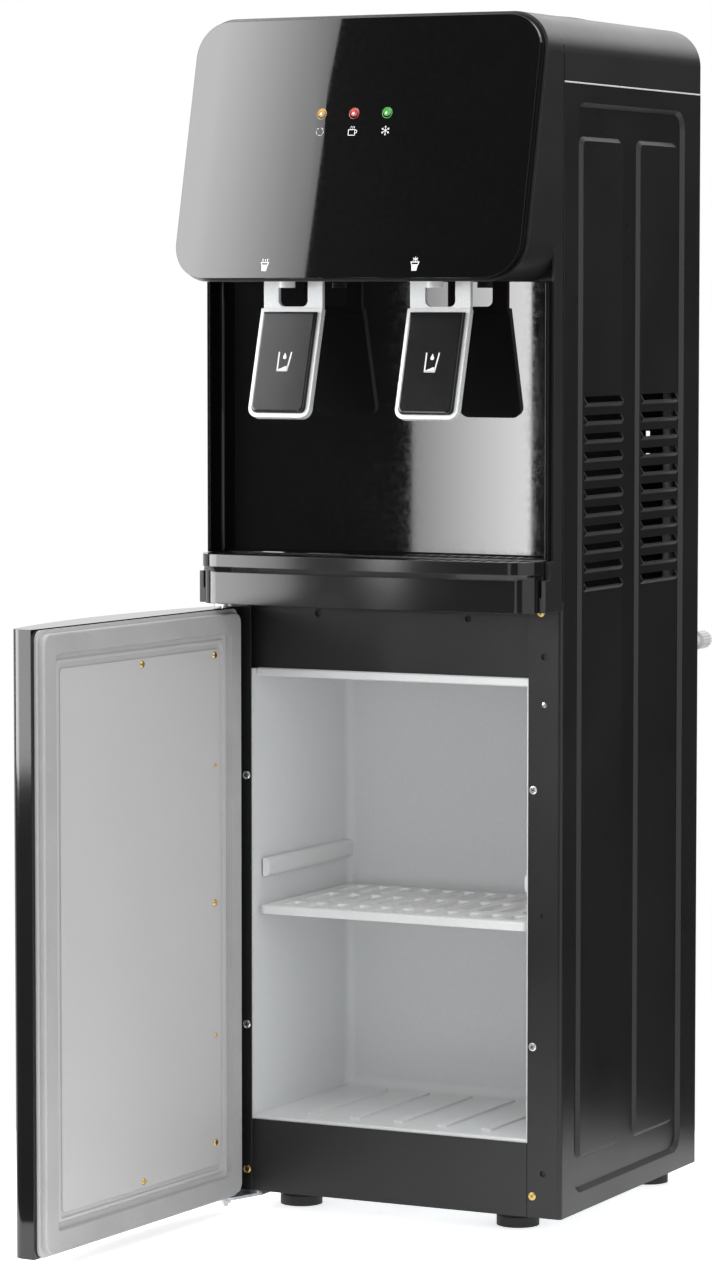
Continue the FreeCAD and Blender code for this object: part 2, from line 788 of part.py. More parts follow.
shelf = body("shelf")
SHELF_TOP = "shelf_bottom + shelf_thickness"
shelf_back = "shelf_front + shelf_depth"
add(shelf, "Z", "shelf_bottom", "shelf_thickness",
    round_oblong("-shelf_half", "shelf_half", "shelf_front", shelf_back, "4"))
remove(shelf, "Z", "shelf_bottom", "shelf_thickness - shelf_skin",
       oblong("-shelf_half + 7", "shelf_half - 7", "shelf_front + 4", f"{shelf_back} - 4"))
slot_rows = [("shelf_front + 12", "24"), ("shelf_front + 48", "50"), ("shelf_front + 110", "42")]
first_slots = remove(shelf, "Z", "shelf_bottom", "shelf_thickness",
                     several(*[round_oblong("-5 * shelf_pitch - shelf_slot / 2",
                                            "-5 * shelf_pitch + shelf_slot / 2", start,
                                            f"{start} + {length}", "3")
                               for start, length in slot_rows]))
repeat(shelf, first_slots, "shelf_pitch", 11)
soften(shelf, "2", [("0", "shelf_front", SHELF_TOP)])

# ---- door, drawn closed and then swung on its hinge line -------------------------------------

HINGE = point("hinge_x", "hinge_y", "0")


def swing(thing):
    turn = FreeCAD.Rotation(V(0, 0, 1), -num("door_open"))
    thing.Placement = FreeCAD.Placement(V(), turn, HINGE)
    return thing


def bowed(name, half, front, rear, bow, low, high):
    """Block whose front is one large arc across its width."""
    block = box(name + "_block", f"-({half})", half, front, rear, low, high)
    radius = f"(({half}) ^ 2 + ({bow}) ^ 2) / (2 * ({bow}))"
    drum = rod(name + "_drum", "0", f"({front}) + {radius}", f"({low}) - 1", radius,
               f"({high}) - ({low}) + 2")
    return common(name, block, drum)


def door_corners(half, low, high, edge):
    return [(f"{sign}({half})", edge, f"(({low}) + ({high})) / 2") for sign in ("-", "")]


door_edge = "door_front + door_bow"
outer = rounded("door_outer",
                bowed("door_outer_form", "door_half", "door_front", "door_back", "door_bow",
                      "door_bottom", "door_top"),
                "door_corner", door_corners("door_half", "door_bottom", "door_top", door_edge))
CORE_HALF = "door_half - door_wall"
CORE_LOW = "door_bottom + door_wall"
CORE_HIGH = "door_top - door_wall"
inner_form = bowed("door_core_form", CORE_HALF, "door_front + door_wall", "door_back", "door_bow",
                   CORE_LOW, CORE_HIGH)
core_form = rounded("door_core_round", inner_form, "door_corner - door_wall",
                    door_corners(CORE_HALF, CORE_LOW, CORE_HIGH, f"{door_edge} + door_wall"))
bush_low = rod("bush_room_low", "hinge_x", "hinge_y", "door_bottom - 1", "bush_radius",
               "bush_length + 1")
bush_high = rod("bush_room_high", "hinge_x", "hinge_y", "door_top - bush_length", "bush_radius",
                "bush_length + 1")
rooms = fuse("bush_rooms", bush_low, bush_high)
turned_in = cut("door_turned_in",
                box("door_return_outer", "-door_half", "door_half", "door_back - door_return",
                    "door_back", "door_bottom", "door_top"),
                box("door_return_inner", "-(gasket_half - 4)", "gasket_half - 4",
                    "door_back - door_return - 1", "door_back + 1", "gasket_bottom + 4",
                    "gasket_top - 4"))
core = cut("door_core", core_form, turned_in)
node("door_shell", swing(cut("door_shell", outer, core, rooms)))
node("door_foam", swing(cut("door_foam", core, rooms)))

bushes = []
for name, low in (("lower", "door_bottom"), ("upper", "door_top - bush_length")):
    ring = cut("bush_" + name,
               rod("bush_outer_" + name, "hinge_x", "hinge_y", low, "bush_radius", "bush_length"),
               rod("bush_bore_" + name, "hinge_x", "hinge_y", f"{low} - 1",
                   "pin_radius + pin_clearance", "bush_length + 2"))
    bushes.append(ring)
node("door_bushes", swing(group("door_bushes", *bushes)))

panel = body("door_inner_panel")
GASKET_LEFT = "-gasket_half"
panel_face = "door_back + inner_panel_gauge"


def frame_of(inset, radius):
    return round_oblong(f"-gasket_half + {inset}", f"gasket_half - {inset}",
                        f"gasket_bottom + {inset}", f"gasket_top - {inset}", radius)


add(panel, "Y", "door_back", "inner_panel_gauge", frame_of("-3", "8"))
add(panel, "Y", panel_face, "inner_panel_step", frame_of("20", "6"), slope="-45")
remove(panel, "Y", f"{panel_face} + inner_panel_step", "inner_panel_step",
       several(frame_of("24", "5"), frame_of("28", "4")), way=-1)
door_screws = [("-gasket_half + 36", "gasket_top - 33"), ("-gasket_half + 36", "gasket_bottom + 245"),
               ("-gasket_half + 36", "gasket_bottom + 47"), ("0", "gasket_top - 33"),
               ("0", "gasket_bottom + 33"), ("-gasket_half + 36", "gasket_top - 123"),
               ("-gasket_half + 36", "gasket_bottom + 136")]
swing(panel)

seal = body("door_gasket")
add(seal, "Y", panel_face, f"gasket_face - ({panel_face})",
    several(frame_of("0", "9"), frame_of("gasket_band", "3")))
soften(seal, "1.6", [("0", "gasket_face", "gasket_bottom"), ("0", "gasket_face", "gasket_top"),
                     ("-gasket_half", "gasket_face", "200"), ("gasket_half", "gasket_face", "200")])
swing(seal)

heads = []
for k, (x, z) in enumerate(door_screws):
    radius = "3" if k < 5 else "1.8"
    heads.append(fuse("door_screw_%d" % k,
                      taper("door_screw_head_%d" % k, x, f"{panel_face} + inner_panel_step", z,
                            radius, f"{radius} * 0.7", "1.3", "Y"),
                      rod("door_screw_shank_%d" % k, x, "door_back", z, "1.2",
                          "inner_panel_gauge + inner_panel_step + 0.5", "Y")))
swing(panel)
shanks = [rod("door_screw_hole_%d" % k, x, "door_back - 1", z, "1.2", "6", "Y")
          for k, (x, z) in enumerate(door_screws)]
NODES.remove(panel)
panel.Placement = FreeCAD.Placement()
panel.Label = "door_inner_form"
node("door_inner_panel", swing(cut("door_inner_panel", panel, *shanks)))
node("door_screws", swing(group("door_screws", *heads)))

# ---- hinge brackets and pins -----------------------------------------------------------------

hinge_plan = [("hinge_x - 8", "hinge_y - 8"), ("hinge_x + 8", "hinge_y - 8"),
              ("hinge_x + 20", "12"), ("hinge_x + 20", "31"), ("hinge_x - 8", "31")]
lower = body("lower_bracket_form")
NODES.remove(lower)
add(lower, "Z", "lower_plate_bottom", "plate_gauge + 0.5", polygon(*hinge_plan))
add(lower, "Z", "lower_plate_bottom + plate_gauge + 0.5",
    "cabinet_base - lower_plate_bottom - plate_gauge - 0.5",
    oblong("hinge_x - 8", "hinge_x + 20", "6", "31"))
remove(lower, "Z", "lower_plate_bottom", "plate_gauge + 0.5",
       circle("hinge_x", "hinge_y", "pin_radius"))
soften(lower, "6", [("hinge_x - 8", "hinge_y - 8", "lower_plate_bottom + 1"),
                    ("hinge_x + 8", "hinge_y - 8", "lower_plate_bottom + 1")])
upper = body("upper_bracket_form")
NODES.remove(upper)
add(upper, "Z", "deck_height + sheet_thickness", "plate_gauge", polygon(*hinge_plan))
remove(upper, "Z", "deck_height + sheet_thickness", "plate_gauge",
       circle("hinge_x", "hinge_y", "pin_radius"))
soften(upper, "6", [("hinge_x - 8", "hinge_y - 8", "deck_height + sheet_thickness + 1"),
                    ("hinge_x + 8", "hinge_y - 8", "deck_height + sheet_thickness + 1")])
node("hinge_brackets", group("hinge_brackets", lower, upper))
pin_low = rod("pin_low", "hinge_x", "hinge_y", "pin_low_end", "pin_radius",
              "door_bottom + bush_length - 1 - pin_low_end")
pin_nut = cut("pin_nut",
              rod("pin_nut_body", "hinge_x", "hinge_y", "lower_plate_bottom - 3.5", "4.5", "3.5"),
              rod("pin_nut_bore", "hinge_x", "hinge_y", "lower_plate_bottom - 4", "pin_radius",
                  "5"))
pin_high = rod("pin_high", "hinge_x", "hinge_y", "door_top - bush_length + 1", "pin_radius",
               "deck_height + sheet_thickness + plate_gauge + 1.4 - door_top + bush_length - 1")
node("hinge_pins", group("hinge_pins", fuse("pin_with_nut", pin_low, pin_nut), pin_high))

# ---- head: casing, fascia, niche panel and cover ---------------------------------------------

BOW_RADIUS = "((half_width - fascia_inset) ^ 2 + fascia_bow ^ 2) / (2 * fascia_bow)"


def lean_drum(name, back):
    """Large cylinder whose front is the leaning, bowed face, moved back by a distance."""
    thing = doc.addObject("Part::Cylinder", name)
    bind(thing, Radius=BOW_RADIUS, Height="700")
    thing.Placement = FreeCAD.Placement(V(), FreeCAD.Rotation(V(1, 0, 0), -num("lean_angle")))
    away = f"({BOW_RADIUS} - fascia_bow + {back})"
    return put(thing, "0",
               f"lean_front + {away} * cos(lean_angle) - 350 * sin(lean_angle)",
               f"lean_height - {away} * sin(lean_angle) - 350 * cos(lean_angle)")


def head_prism(label, inset, front="-130", rear="0", low="head_bottom"):
    form = doc.addObject("PartDesign::Body", label)
    add(form, "Y", rear, f"({rear}) - ({front})",
        round_oblong(f"-(half_width - ({inset}))", f"half_width - ({inset})",
                     f"{low} + ({inset})", f"head_top - ({inset})", f"head_corner - ({inset})"),
        way=-1)
    return form


casing_form = common("casing_form", head_prism("casing_prism", "0"),
                     lean_drum("casing_drum", "fascia_gauge"))
pillars = []
for sign in ("-", ""):
    def across(near, far):
        return (f"-({far})", f"-({near})") if sign else (near, far)
    ident = "left" if sign else "right"
    pillars += [
        box("pillar_" + ident, *across("niche_half + 2.5", "half_width"),
            "-pillar_depth", "0", "tray_bottom", "head_bottom + head_corner + 6"),
        box("pillar_foot_" + ident, *across("foot_inner", "half_width"),
            "-foot_depth", "0", "tray_bottom", "tray_top - 0.3"),
        box("pillar_ledge_" + ident, *across("ledge_inner", "half_width"),
            "-ledge_depth", "0", "tray_bottom", "ledge_top"),
        box("pillar_front_" + ident, *across("foot_inner", "half_width"),
            "-ledge_depth", "-foot_depth + 1", "tray_bottom", "band_bottom - 0.3")]
splash = box("splash_strip", "-half_width", "half_width", "-panel_gauge", "0",
             "tray_bottom + 2.5", "tray_top - 0.3")
tap_mouths = [box("tap_mouth_%d" % k, f"{sign}tap_offset - lever_half - 3",
                  f"{sign}tap_offset + lever_half + 3", "nozzle_y - nozzle_radius - 3",
                  "pivot_y + 9", "head_bottom - 1", "head_bottom + 5")
              for k, sign in enumerate(("-", ""))]
casing = cut("head_casing", fuse("casing_solid", casing_form, splash, *pillars),
             head_prism("casing_hollow", "head_wall", rear="1"), *tap_mouths)
node("head_casing", casing)

fascia_form = common("fascia_form", head_prism("fascia_prism", "fascia_inset"),
                     lean_drum("fascia_drum", "0"))
lens_normal = V(0, num("cos(lean_angle)"), -num("sin(lean_angle)"))
lens_turn = FreeCAD.Rotation(V(0, 0, 1), lens_normal)


def lens_spot(offset, back):
    """Point behind the fascia's foremost line at the lenses' height, square to the face."""
    drop = (num("lean_height") - num("lens_height")) * math.tan(math.radians(num("lean_angle")))
    front = V(num(offset), num("lean_front") - drop, num("lens_height"))
    return front + lens_normal * (back - num("fascia_bow"))


def lens_sag(offset):
    """Distance of the bowed face behind its foremost line at a lens."""
    radius = num(BOW_RADIUS)
    return radius - math.sqrt(radius ** 2 - num(offset) ** 2)


def lens_rod(offset, radius, start, end):
    return Part.makeCylinder(num(radius), end - start, lens_spot(offset, start), lens_normal)


lens_offsets = ("-lens_pitch", "0", "lens_pitch")
lens_end = num("board_depth")
sockets = solid("lens_sockets", Part.makeCompound(
    [lens_rod(offset, "lens_radius + 0.05", -3.0, lens_end) for offset in lens_offsets]))
node("front_fascia", cut("front_fascia", fascia_form, lean_drum("fascia_back", "fascia_gauge"),
                         sockets))
for label, offset in zip(("indicator_amber", "indicator_red", "indicator_green"), lens_offsets):
    proud = num("lens_proud")
    stem = lens_rod(offset, "lens_radius", lens_sag(offset) - proud, lens_end)
    front_edge = [edge for edge in stem.Edges
                  if edge.Length > 1.9 * math.pi * num("lens_radius")
                  and abs((edge.CenterOfMass - lens_spot(offset, 0)).dot(lens_normal)) < 3]
    node(label, solid(label, stem.makeFillet(0.9 * proud, front_edge)))
board = Part.makeBox(num("board_length"), num("board_width"), num("board_gauge"),
                     V(-num("board_length") / 2, -num("board_width") / 2, 0))
board.Placement = FreeCAD.Placement(lens_spot("0", lens_end), lens_turn)
node("indicator_board", solid("indicator_board", board))

niche = body("niche_panel")
add(niche, "Z", "tray_top + tray_gap", "head_bottom - tray_top - tray_gap",
    polygon(("-(niche_half + 2.5)", "-cheek_depth"), ("-niche_half", "-cheek_depth"),
            ("-niche_half", "-panel_gauge"), ("niche_half", "-panel_gauge"),
            ("niche_half", "-cheek_depth"), ("niche_half + 2.5", "-cheek_depth"),
            ("niche_half + 2.5", "0"), ("-(niche_half + 2.5)", "0")))
soften(niche, "2", [(f"{sign}niche_half", "-panel_gauge", "700") for sign in ("-", "")])

cover_form = body("top_cover_form")
NODES.remove(cover_form)
add(cover_form, "Y", "0", "cabinet_depth",
    round_oblong("-half_width", "half_width", "panel_top - 40", "head_top", "head_corner"))
soften(cover_form, "4", [("0", "cabinet_depth", "head_top")])
remove(cover_form, "Y", "0", "cabinet_depth - head_wall",
       round_oblong("-(half_width - head_wall)", "half_width - head_wall", "panel_top - 45",
                    "head_top - head_wall", "head_corner - head_wall"))
below = box("below_cover", "-half_width - 5", "half_width + 5", "-5", "cabinet_depth + 5",
            "panel_top - 60", "panel_top")
mouth = rod("receiver_mouth", "0", "bottle_y", "head_top - 30", "receiver_radius", "60")
node("top_cover", cut("top_cover", cover_form, below, mouth))

# ---- bottle receiver, spike and tanks ----------------------------------------------------------


def revolved(label, x, y, corners):
    """Turned piece: its half outline goes round the upright axis through a point."""
    piece = body(label)
    sketch = sketch_on(piece, "Y", "0", polygon(*corners))
    turn = piece.newObject("PartDesign::Revolution", "Revolution")
    turn.Profile = sketch
    turn.ReferenceAxis = (sketch, ["V_Axis"])
    turn.Angle = 360
    put(piece, x, y)
    doc.recompute()
    return piece


revolved("bottle_receiver", "0", "bottle_y", [
    ("receiver_radius", "head_top - 8"), ("receiver_radius", "head_top"),
    ("receiver_radius + receiver_rim", "head_top"),
    ("receiver_radius + receiver_rim", "head_top + 2"),
    ("receiver_radius + receiver_rim - 3", "head_top + 4"),
    ("receiver_radius - 4", "head_top + 4"),
    ("receiver_radius - 22", "head_top - 16"),
    ("receiver_throat + 14", "head_top - receiver_depth + receiver_wall"),
    ("receiver_throat", "head_top - receiver_depth + receiver_wall"),
    ("receiver_throat", "cold_top + cold_foam * 0.2"),
    ("receiver_throat + receiver_wall", "cold_top + cold_foam * 0.2"),
    ("receiver_throat + receiver_wall", "head_top - receiver_depth"),
    ("receiver_throat + 15", "head_top - receiver_depth"),
    ("receiver_radius - 20", "head_top - 19.5")])
spike = revolved("receiver_spike", "0", "bottle_y", [
    ("4", "cold_top - 18"), ("spike_radius", "cold_top - 18"),
    ("spike_radius", "cold_top + 4"), ("receiver_throat", "cold_top + 4"),
    ("receiver_throat", "cold_top + 8"), ("spike_radius", "cold_top + 8"),
    ("spike_radius", "spike_top - 8"), ("5", "spike_top"), ("4", "spike_top")])
cold = revolved("cold_tank", "0", "bottle_y", [
    ("0", "cold_bottom"), ("cold_radius", "cold_bottom"), ("cold_radius", "cold_top"),
    ("receiver_throat + 8", "cold_top"), ("receiver_throat + 8", "cold_top + 4"),
    ("spike_radius", "cold_top + 4"), ("spike_radius", "cold_top - 1.5"),
    ("cold_radius - 1.5", "cold_top - 1.5"), ("cold_radius - 1.5", "cold_bottom + 1.5"),
    ("0", "cold_bottom + 1.5")])
cold_jacket = revolved("cold_jacket_form", "0", "bottle_y", [
    ("0", "tank_deck_height + sheet_thickness"),
    ("cold_radius + cold_foam", "tank_deck_height + sheet_thickness"),
    ("cold_radius + cold_foam", "cold_top"), ("cold_radius + 7", "cold_top"),
    ("cold_radius + 7", "cold_bottom"), ("0", "cold_bottom")])
NODES.remove(cold_jacket)
remove(cold_jacket, "Y", "-cold_radius - cold_foam - 1", "cold_foam + 16",
       circle("tap_offset", "cold_bottom + 8", "hose_radius"))
windings = []
for k in range(6):
    winding = doc.addObject("Part::Torus", "winding_%d" % k)
    bind(winding, Radius1="cold_radius + coil_wire + 0.2", Radius2="coil_wire")
    windings.append(put(winding, "0", "bottle_y", f"cold_bottom + 12 + {k} * 14"))
header = rod("winding_header", "cold_radius + coil_wire + 0.2", "bottle_y", "cold_bottom + 12",
             "coil_wire * 0.8", "70")
node("evaporator_coil", fuse("evaporator_coil", header, *windings))

hot_tank = cut("hot_tank_shell",
               rod("hot_outer", "-tap_offset", "hot_y", "hot_bottom", "hot_radius", "hot_height"),
               rod("hot_inner", "-tap_offset", "hot_y", "hot_bottom + 1.5", "hot_radius - 1.5",
                   "hot_height - 3"))

# ---- drip tray and grille ------------------------------------------------------------------------


def tray_plate(name, half, front, rear, low, high, radius):
    """Plate with a slightly bowed front and two rounded front corners."""
    form = bowed(name + "_form", half, front, rear, "tray_bow", low, high)
    return rounded(name, form, radius,
                   door_corners(half, low, high, f"({front}) + tray_bow"))


tray_rear = "-panel_gauge - tray_gap"
band = tray_plate("tray_band", "tray_half", "tray_front", "-foot_depth - tray_gap", "band_bottom",
                  "tray_top", "tray_corner")
doc.recompute()
low_edges = [k for k, edge in enumerate(band.Shape.Edges, 1)
             if edge.BoundBox.ZMax < num("band_bottom") + 0.01
             and edge.BoundBox.YMin < num("-foot_depth - tray_gap") - 0.01]
band_cut = doc.addObject("Part::Chamfer", "tray_band_cut")
band_cut.Base = band
band_cut.Edges = [(k, num("band_chamfer"), num("band_chamfer")) for k in low_edges]
lower_band = tray_plate("tray_lower", "lower_half", "lower_front", tray_rear, "tray_bottom",
                        "band_bottom + 3", "tray_corner - 6")
waist = box("tray_waist", "-foot_inner + tray_gap * 2", "foot_inner - tray_gap * 2",
            "-ledge_depth + 5", tray_rear, "ledge_top + tray_gap / 3", "tray_top")
seat = tray_plate("tray_seat", "foot_inner - tray_gap * 2 - grille_rim + 0.3",
                  "tray_front + grille_rim", f"{tray_rear} - grille_rim",
                  "tray_top - grille_seat", "tray_top + 1", "tray_corner - grille_rim")
basin = box("tray_basin", "-(lower_half - tray_wall - 3)", "lower_half - tray_wall - 3",
            "lower_front + tray_bow + tray_wall + 2", f"{tray_rear} - tray_wall - 3",
            "tray_bottom + tray_wall", "tray_top")
node("drip_tray", cut("drip_tray", fuse("tray_solid", band_cut, lower_band, waist), seat, basin))
grille_plate = tray_plate("grille_plate", "foot_inner - tray_gap * 3 - grille_rim + 0.3",
                          "tray_front + grille_rim + tray_gap",
                          f"{tray_rear} - grille_rim - tray_gap",
                          "tray_top - grille_seat + 0.1",
                          "tray_top - grille_seat + 0.1 + grille_gauge",
                          "tray_corner - grille_rim - tray_gap")
slots = doc.addObject("PartDesign::Body", "grille_slots")
first_slot = add(slots, "Z", "tray_top - grille_seat - 1", "grille_gauge + 3",
                 oblong("-13 * grille_pitch - grille_slot / 2",
                        "-13 * grille_pitch + grille_slot / 2",
                        "lower_front + tray_bow + tray_wall + 4",
                        f"{tray_rear} - tray_wall - 6"))
repeat(slots, first_slot, "grille_pitch", 27)
node("drip_grille", cut("drip_grille", grille_plate, slots))

# ---- taps --------------------------------------------------------------------------------------


def tap_lever(label, x):
    """Bracket with a window, hung on its pin, carrying a leaning paddle."""
    front = "pivot_y - lever_gauge / 2"
    rear = "pivot_y + lever_gauge / 2"
    arms = cut(label + "_arms",
               box(label + "_bracket", f"{x} - lever_half", f"{x} + lever_half", front, rear,
                   "paddle_top - 4", "pivot_z + 12"),
               box(label + "_window", f"{x} - window_half", f"{x} + window_half",
                   f"{front} - 1", f"{rear} + 1", "window_bottom + 6", "pivot_z + 8"),
               rounded(label + "_window_low",
                       box(label + "_window_foot", f"{x} - window_half", f"{x} + window_half",
                           f"{front} - 1", f"{rear} + 1", "window_bottom", "window_bottom + 14"),
                       "5", [(f"{x} {s} window_half", "pivot_y", "window_bottom")
                             for s in ("-", "+")]))
    hubs = [rod(f"{label}_hub_{k}", f"{x} {s}", "pivot_y", "pivot_z", "lever_pin_radius + 2.6",
                "9", "X") for k, s in enumerate(("- window_half - 9", "+ window_half"))]
    bore = rod(label + "_bore", f"{x} - 40", "pivot_y", "pivot_z", "lever_pin_radius + 0.05",
               "80", "X")
    paddle = rounded(label + "_paddle_round",
                     box(label + "_paddle", "-paddle_half", "paddle_half", "-paddle_gauge", "0",
                         "-paddle_length", "0"),
                     "paddle_corner", [("-paddle_half", "-paddle_gauge / 2", "-paddle_length"),
                                       ("paddle_half", "-paddle_gauge / 2", "-paddle_length")])
    leaning = cut(label + "_dished", paddle,
                  rounded(label + "_dish_round",
                          box(label + "_dish", "-(paddle_half - paddle_rim)",
                              "paddle_half - paddle_rim", "-paddle_gauge - 1",
                              "-paddle_gauge + 2.5", "-(paddle_length - paddle_rim)",
                              "-paddle_rim"),
                          "paddle_corner - paddle_rim",
                          [("-(paddle_half - paddle_rim)", "-paddle_gauge + 1",
                            "-(paddle_length - paddle_rim)"),
                           ("paddle_half - paddle_rim", "-paddle_gauge + 1",
                            "-(paddle_length - paddle_rim)")]))
    leaning.Placement = FreeCAD.Placement(point(x, "pivot_y + 1.4", "paddle_top"),
                                          FreeCAD.Rotation(V(1, 0, 0), -num("paddle_lean")))
    lever = cut(label, fuse(label + "_solid", arms, leaning, *hubs), bore)
    return node(label, lever)


def lever_pad(label, x):
    pad = rounded(label,
                  box(label + "_block", "-(paddle_half - paddle_rim)", "paddle_half - paddle_rim",
                      "-paddle_gauge - pad_proud", "-paddle_gauge + 2.5",
                      "-(paddle_length - paddle_rim)", "-paddle_rim"),
                  "paddle_corner - paddle_rim",
                  [("-(paddle_half - paddle_rim)", "-paddle_gauge", "-(paddle_length - paddle_rim)"),
                   ("paddle_half - paddle_rim", "-paddle_gauge", "-(paddle_length - paddle_rim)")])
    pad.Placement = FreeCAD.Placement(point(x, "pivot_y + 1.4", "paddle_top"),
                                      FreeCAD.Rotation(V(1, 0, 0), -num("paddle_lean")))
    return node(label, pad)


def tap_body(label, x):
    """Valve block on a flange, with its nozzle, hose stub and spring post."""
    block = box(label + "_block", f"{x} - tap_body_half", f"{x} + tap_body_half",
                "nozzle_y - nozzle_radius", "-14", "head_bottom + 3.5", "pivot_z + 7")
    flange = box(label + "_flange", f"{x} - lever_half + 4", f"{x} + lever_half - 4",
                 "pivot_y + 9", "-8", "head_bottom + head_wall", "head_bottom + head_wall + 3")
    spout = rod(label + "_spout", x, "nozzle_y", "nozzle_bottom", "nozzle_radius",
                "pivot_z - nozzle_bottom")
    post = box(label + "_post", f"{x} - 6", f"{x} + 6", "nozzle_y - nozzle_radius",
               "nozzle_y - nozzle_radius + 4", "pivot_z + 5", "pivot_z + 16")
    stub = rod(label + "_stub", x, "-14", "pivot_z", "hose_radius - 1.2", "14", "Y")
    bore = rod(label + "_outlet", x, "nozzle_y", "nozzle_bottom - 1", "bore_radius", "14")
    pin_bore = rod(label + "_pin_bore", f"{x} - 20", "pivot_y", "pivot_z", "lever_pin_radius",
                   "40", "X")
    return node(label, cut(label, fuse(label + "_solid", block, flange, spout, post, stub), bore,
                           pin_bore))


pins = []
springs = []
for label, x in (("left", "-tap_offset"), ("right", "tap_offset")):
    tap_body("tap_body_" + label, x)
    tap_lever("tap_lever_" + label, x)
    lever_pad("lever_pad_" + label, x)
    pins.append(rod("lever_pin_" + label, f"{x} - lever_half - 1", "pivot_y", "pivot_z",
                    "lever_pin_radius", "2 * lever_half + 2", "X"))
    start = point(x, "nozzle_y - nozzle_radius + 4 + spring_wire", "pivot_z + 11")
    reach = num("pivot_y - lever_gauge / 2 - nozzle_y + nozzle_radius - 4 - 2 * spring_wire")
    springs.append(solid("lever_spring_" + label,
                         coil_shape(start, num("spring_radius"), num("spring_wire"), reach,
                                    num("spring_coils"), V(0, 1, 0))))
node("lever_pins", group("lever_pins", *pins))
node("lever_springs", group("lever_springs", *springs))

# ---- hot tank, hoses ------------------------------------------------------------------------------

HOT_X = "-tap_offset"
HOT_OUTLET = "hot_bottom + hot_height - 18"
HOT_DRAIN = "hot_bottom + 12"
jacket_low = "hot_bottom - hot_foam"


def hot_stubs(name, radius):
    return [rod(name + "_outlet", HOT_X, "hot_y - hot_radius - hot_foam - 4", HOT_OUTLET, radius,
                "hot_foam + 6", "Y"),
            rod(name + "_drain", HOT_X, "hot_y + hot_radius - 2", HOT_DRAIN, radius,
                "hot_foam + 6", "Y")]


node("hot_tank", fuse("hot_tank", hot_tank, *hot_stubs("hot_stub", "hose_radius - 1.2")))
node("tank_insulation", group(
    "tank_insulation", cold_jacket,
    cut("hot_jacket",
         rod("hot_jacket_outer", HOT_X, "hot_y", jacket_low, "hot_radius + hot_foam",
             f"tank_deck_height - ({jacket_low})"),
         rod("hot_jacket_room", HOT_X, "hot_y", "hot_bottom", "hot_radius", "hot_height"),
         *hot_stubs("hot_jacket_stub", "hose_radius - 1.2"))))

bore = "hose_radius - 1.2"
hose_cold = solid("hose_cold", tube_shape(
    [point("tap_offset", "-10", "pivot_z"), point("tap_offset", "16", "pivot_z"),
     point("tap_offset", "16", "cold_bottom + 8"),
     point("tap_offset", "bottle_y - 48", "cold_bottom + 8")],
    num("hose_radius"), 14.0, num(bore)))
hose_hot = solid("hose_hot", tube_shape(
    [point(HOT_X, "-10", "pivot_z"), point(HOT_X, "26", "pivot_z"),
     point(HOT_X, "26", HOT_OUTLET), point(HOT_X, "hot_y - hot_radius - hot_foam", HOT_OUTLET)],
    num("hose_radius"), 9.0, num(bore)))
hose_drain = solid("hose_drain", tube_shape(
    [point(HOT_X, "hot_y + hot_radius + hot_foam", HOT_DRAIN),
     point(HOT_X, "hose_rear_y", HOT_DRAIN), point("drain_x", "hose_rear_y", HOT_DRAIN),
     point("drain_x", "hose_rear_y", "drain_z"),
     point("drain_x", "cabinet_depth - sheet_thickness - 3", "drain_z")],
    num("hose_radius"), 20.0, num(bore)))
node("hoses", group("hoses", hose_cold, hose_hot, hose_drain))

# ---- drain outlet and cap --------------------------------------------------------------------------

outlet_start = "cabinet_depth - sheet_thickness - 3"
node("drain_outlet", cut(
    "drain_outlet",
    fuse("drain_outlet_solid",
         rod("drain_pipe", "drain_x", outlet_start, "drain_z", "drain_pipe_radius",
             f"drain_end - ({outlet_start})", "Y"),
         rod("drain_washer", "drain_x", outlet_start, "drain_z", "drain_pipe_radius + 4", "3", "Y"),
         rod("drain_nut", "drain_x", "cabinet_depth", "drain_z", "drain_pipe_radius + 4.5", "5.5",
             "Y")),
    rod("drain_bore", "drain_x", f"{outlet_start} - 1", "drain_z", "drain_pipe_radius - 1.6", "60",
        "Y")))
cap = body("drain_cap")
cap_end = "drain_end + 6"
add(cap, "Y", "0", "cap_length", circle("0", "0", "cap_radius"))
remove(cap, "Y", "0", "cap_length - 5.7", circle("0", "0", "drain_pipe_radius + cap_clearance"))
groove = remove(cap, "Y", "2", "cap_length - 2", circle("cap_radius + 0.5", "0", "1"))
knurl = cap.newObject("PartDesign::PolarPattern", "PolarPattern")
knurl.Originals = [groove]
knurl.Axis = (groove.Profile[0], ["N_Axis"])
knurl.Angle = 360
knurl.Occurrences = 16
cap.Tip = knurl
put(cap, "drain_x", f"{cap_end} - cap_length", "drain_z")

# ---- refrigeration circuit ---------------------------------------------------------------------------

MOUNT = "deck_height + sheet_thickness"
grommets = [rod("grommet_%d" % k, f"compressor_x {across} 58", f"compressor_y {along} 44", MOUNT,
                "9", "grommet_height")
            for k, (across, along) in enumerate((("-", "-"), ("+", "-"), ("-", "+"), ("+", "+")))]
node("compressor_grommets", group("compressor_grommets", *grommets))
pot_low = f"{MOUNT} + grommet_height"
pot_high = f"{pot_low} + compressor_height"
pot = revolved("compressor_pot", "compressor_x", "compressor_y", [
    ("0", pot_low), ("compressor_radius * 0.8", pot_low),
    ("compressor_radius", f"{pot_low} + 18"), ("compressor_radius", f"{pot_high} - 42"),
    ("compressor_radius * 0.9", f"{pot_high} - 20"), ("compressor_radius * 0.62", f"{pot_high} - 5"),
    ("0", pot_high)])
NODES.remove(pot)
pot_plate = box("compressor_plate", "compressor_x - 70", "compressor_x + 70", "compressor_y - 56",
                "compressor_y + 56", pot_low, f"{pot_low} + 3")
node("compressor", fuse("compressor", pot, pot_plate))

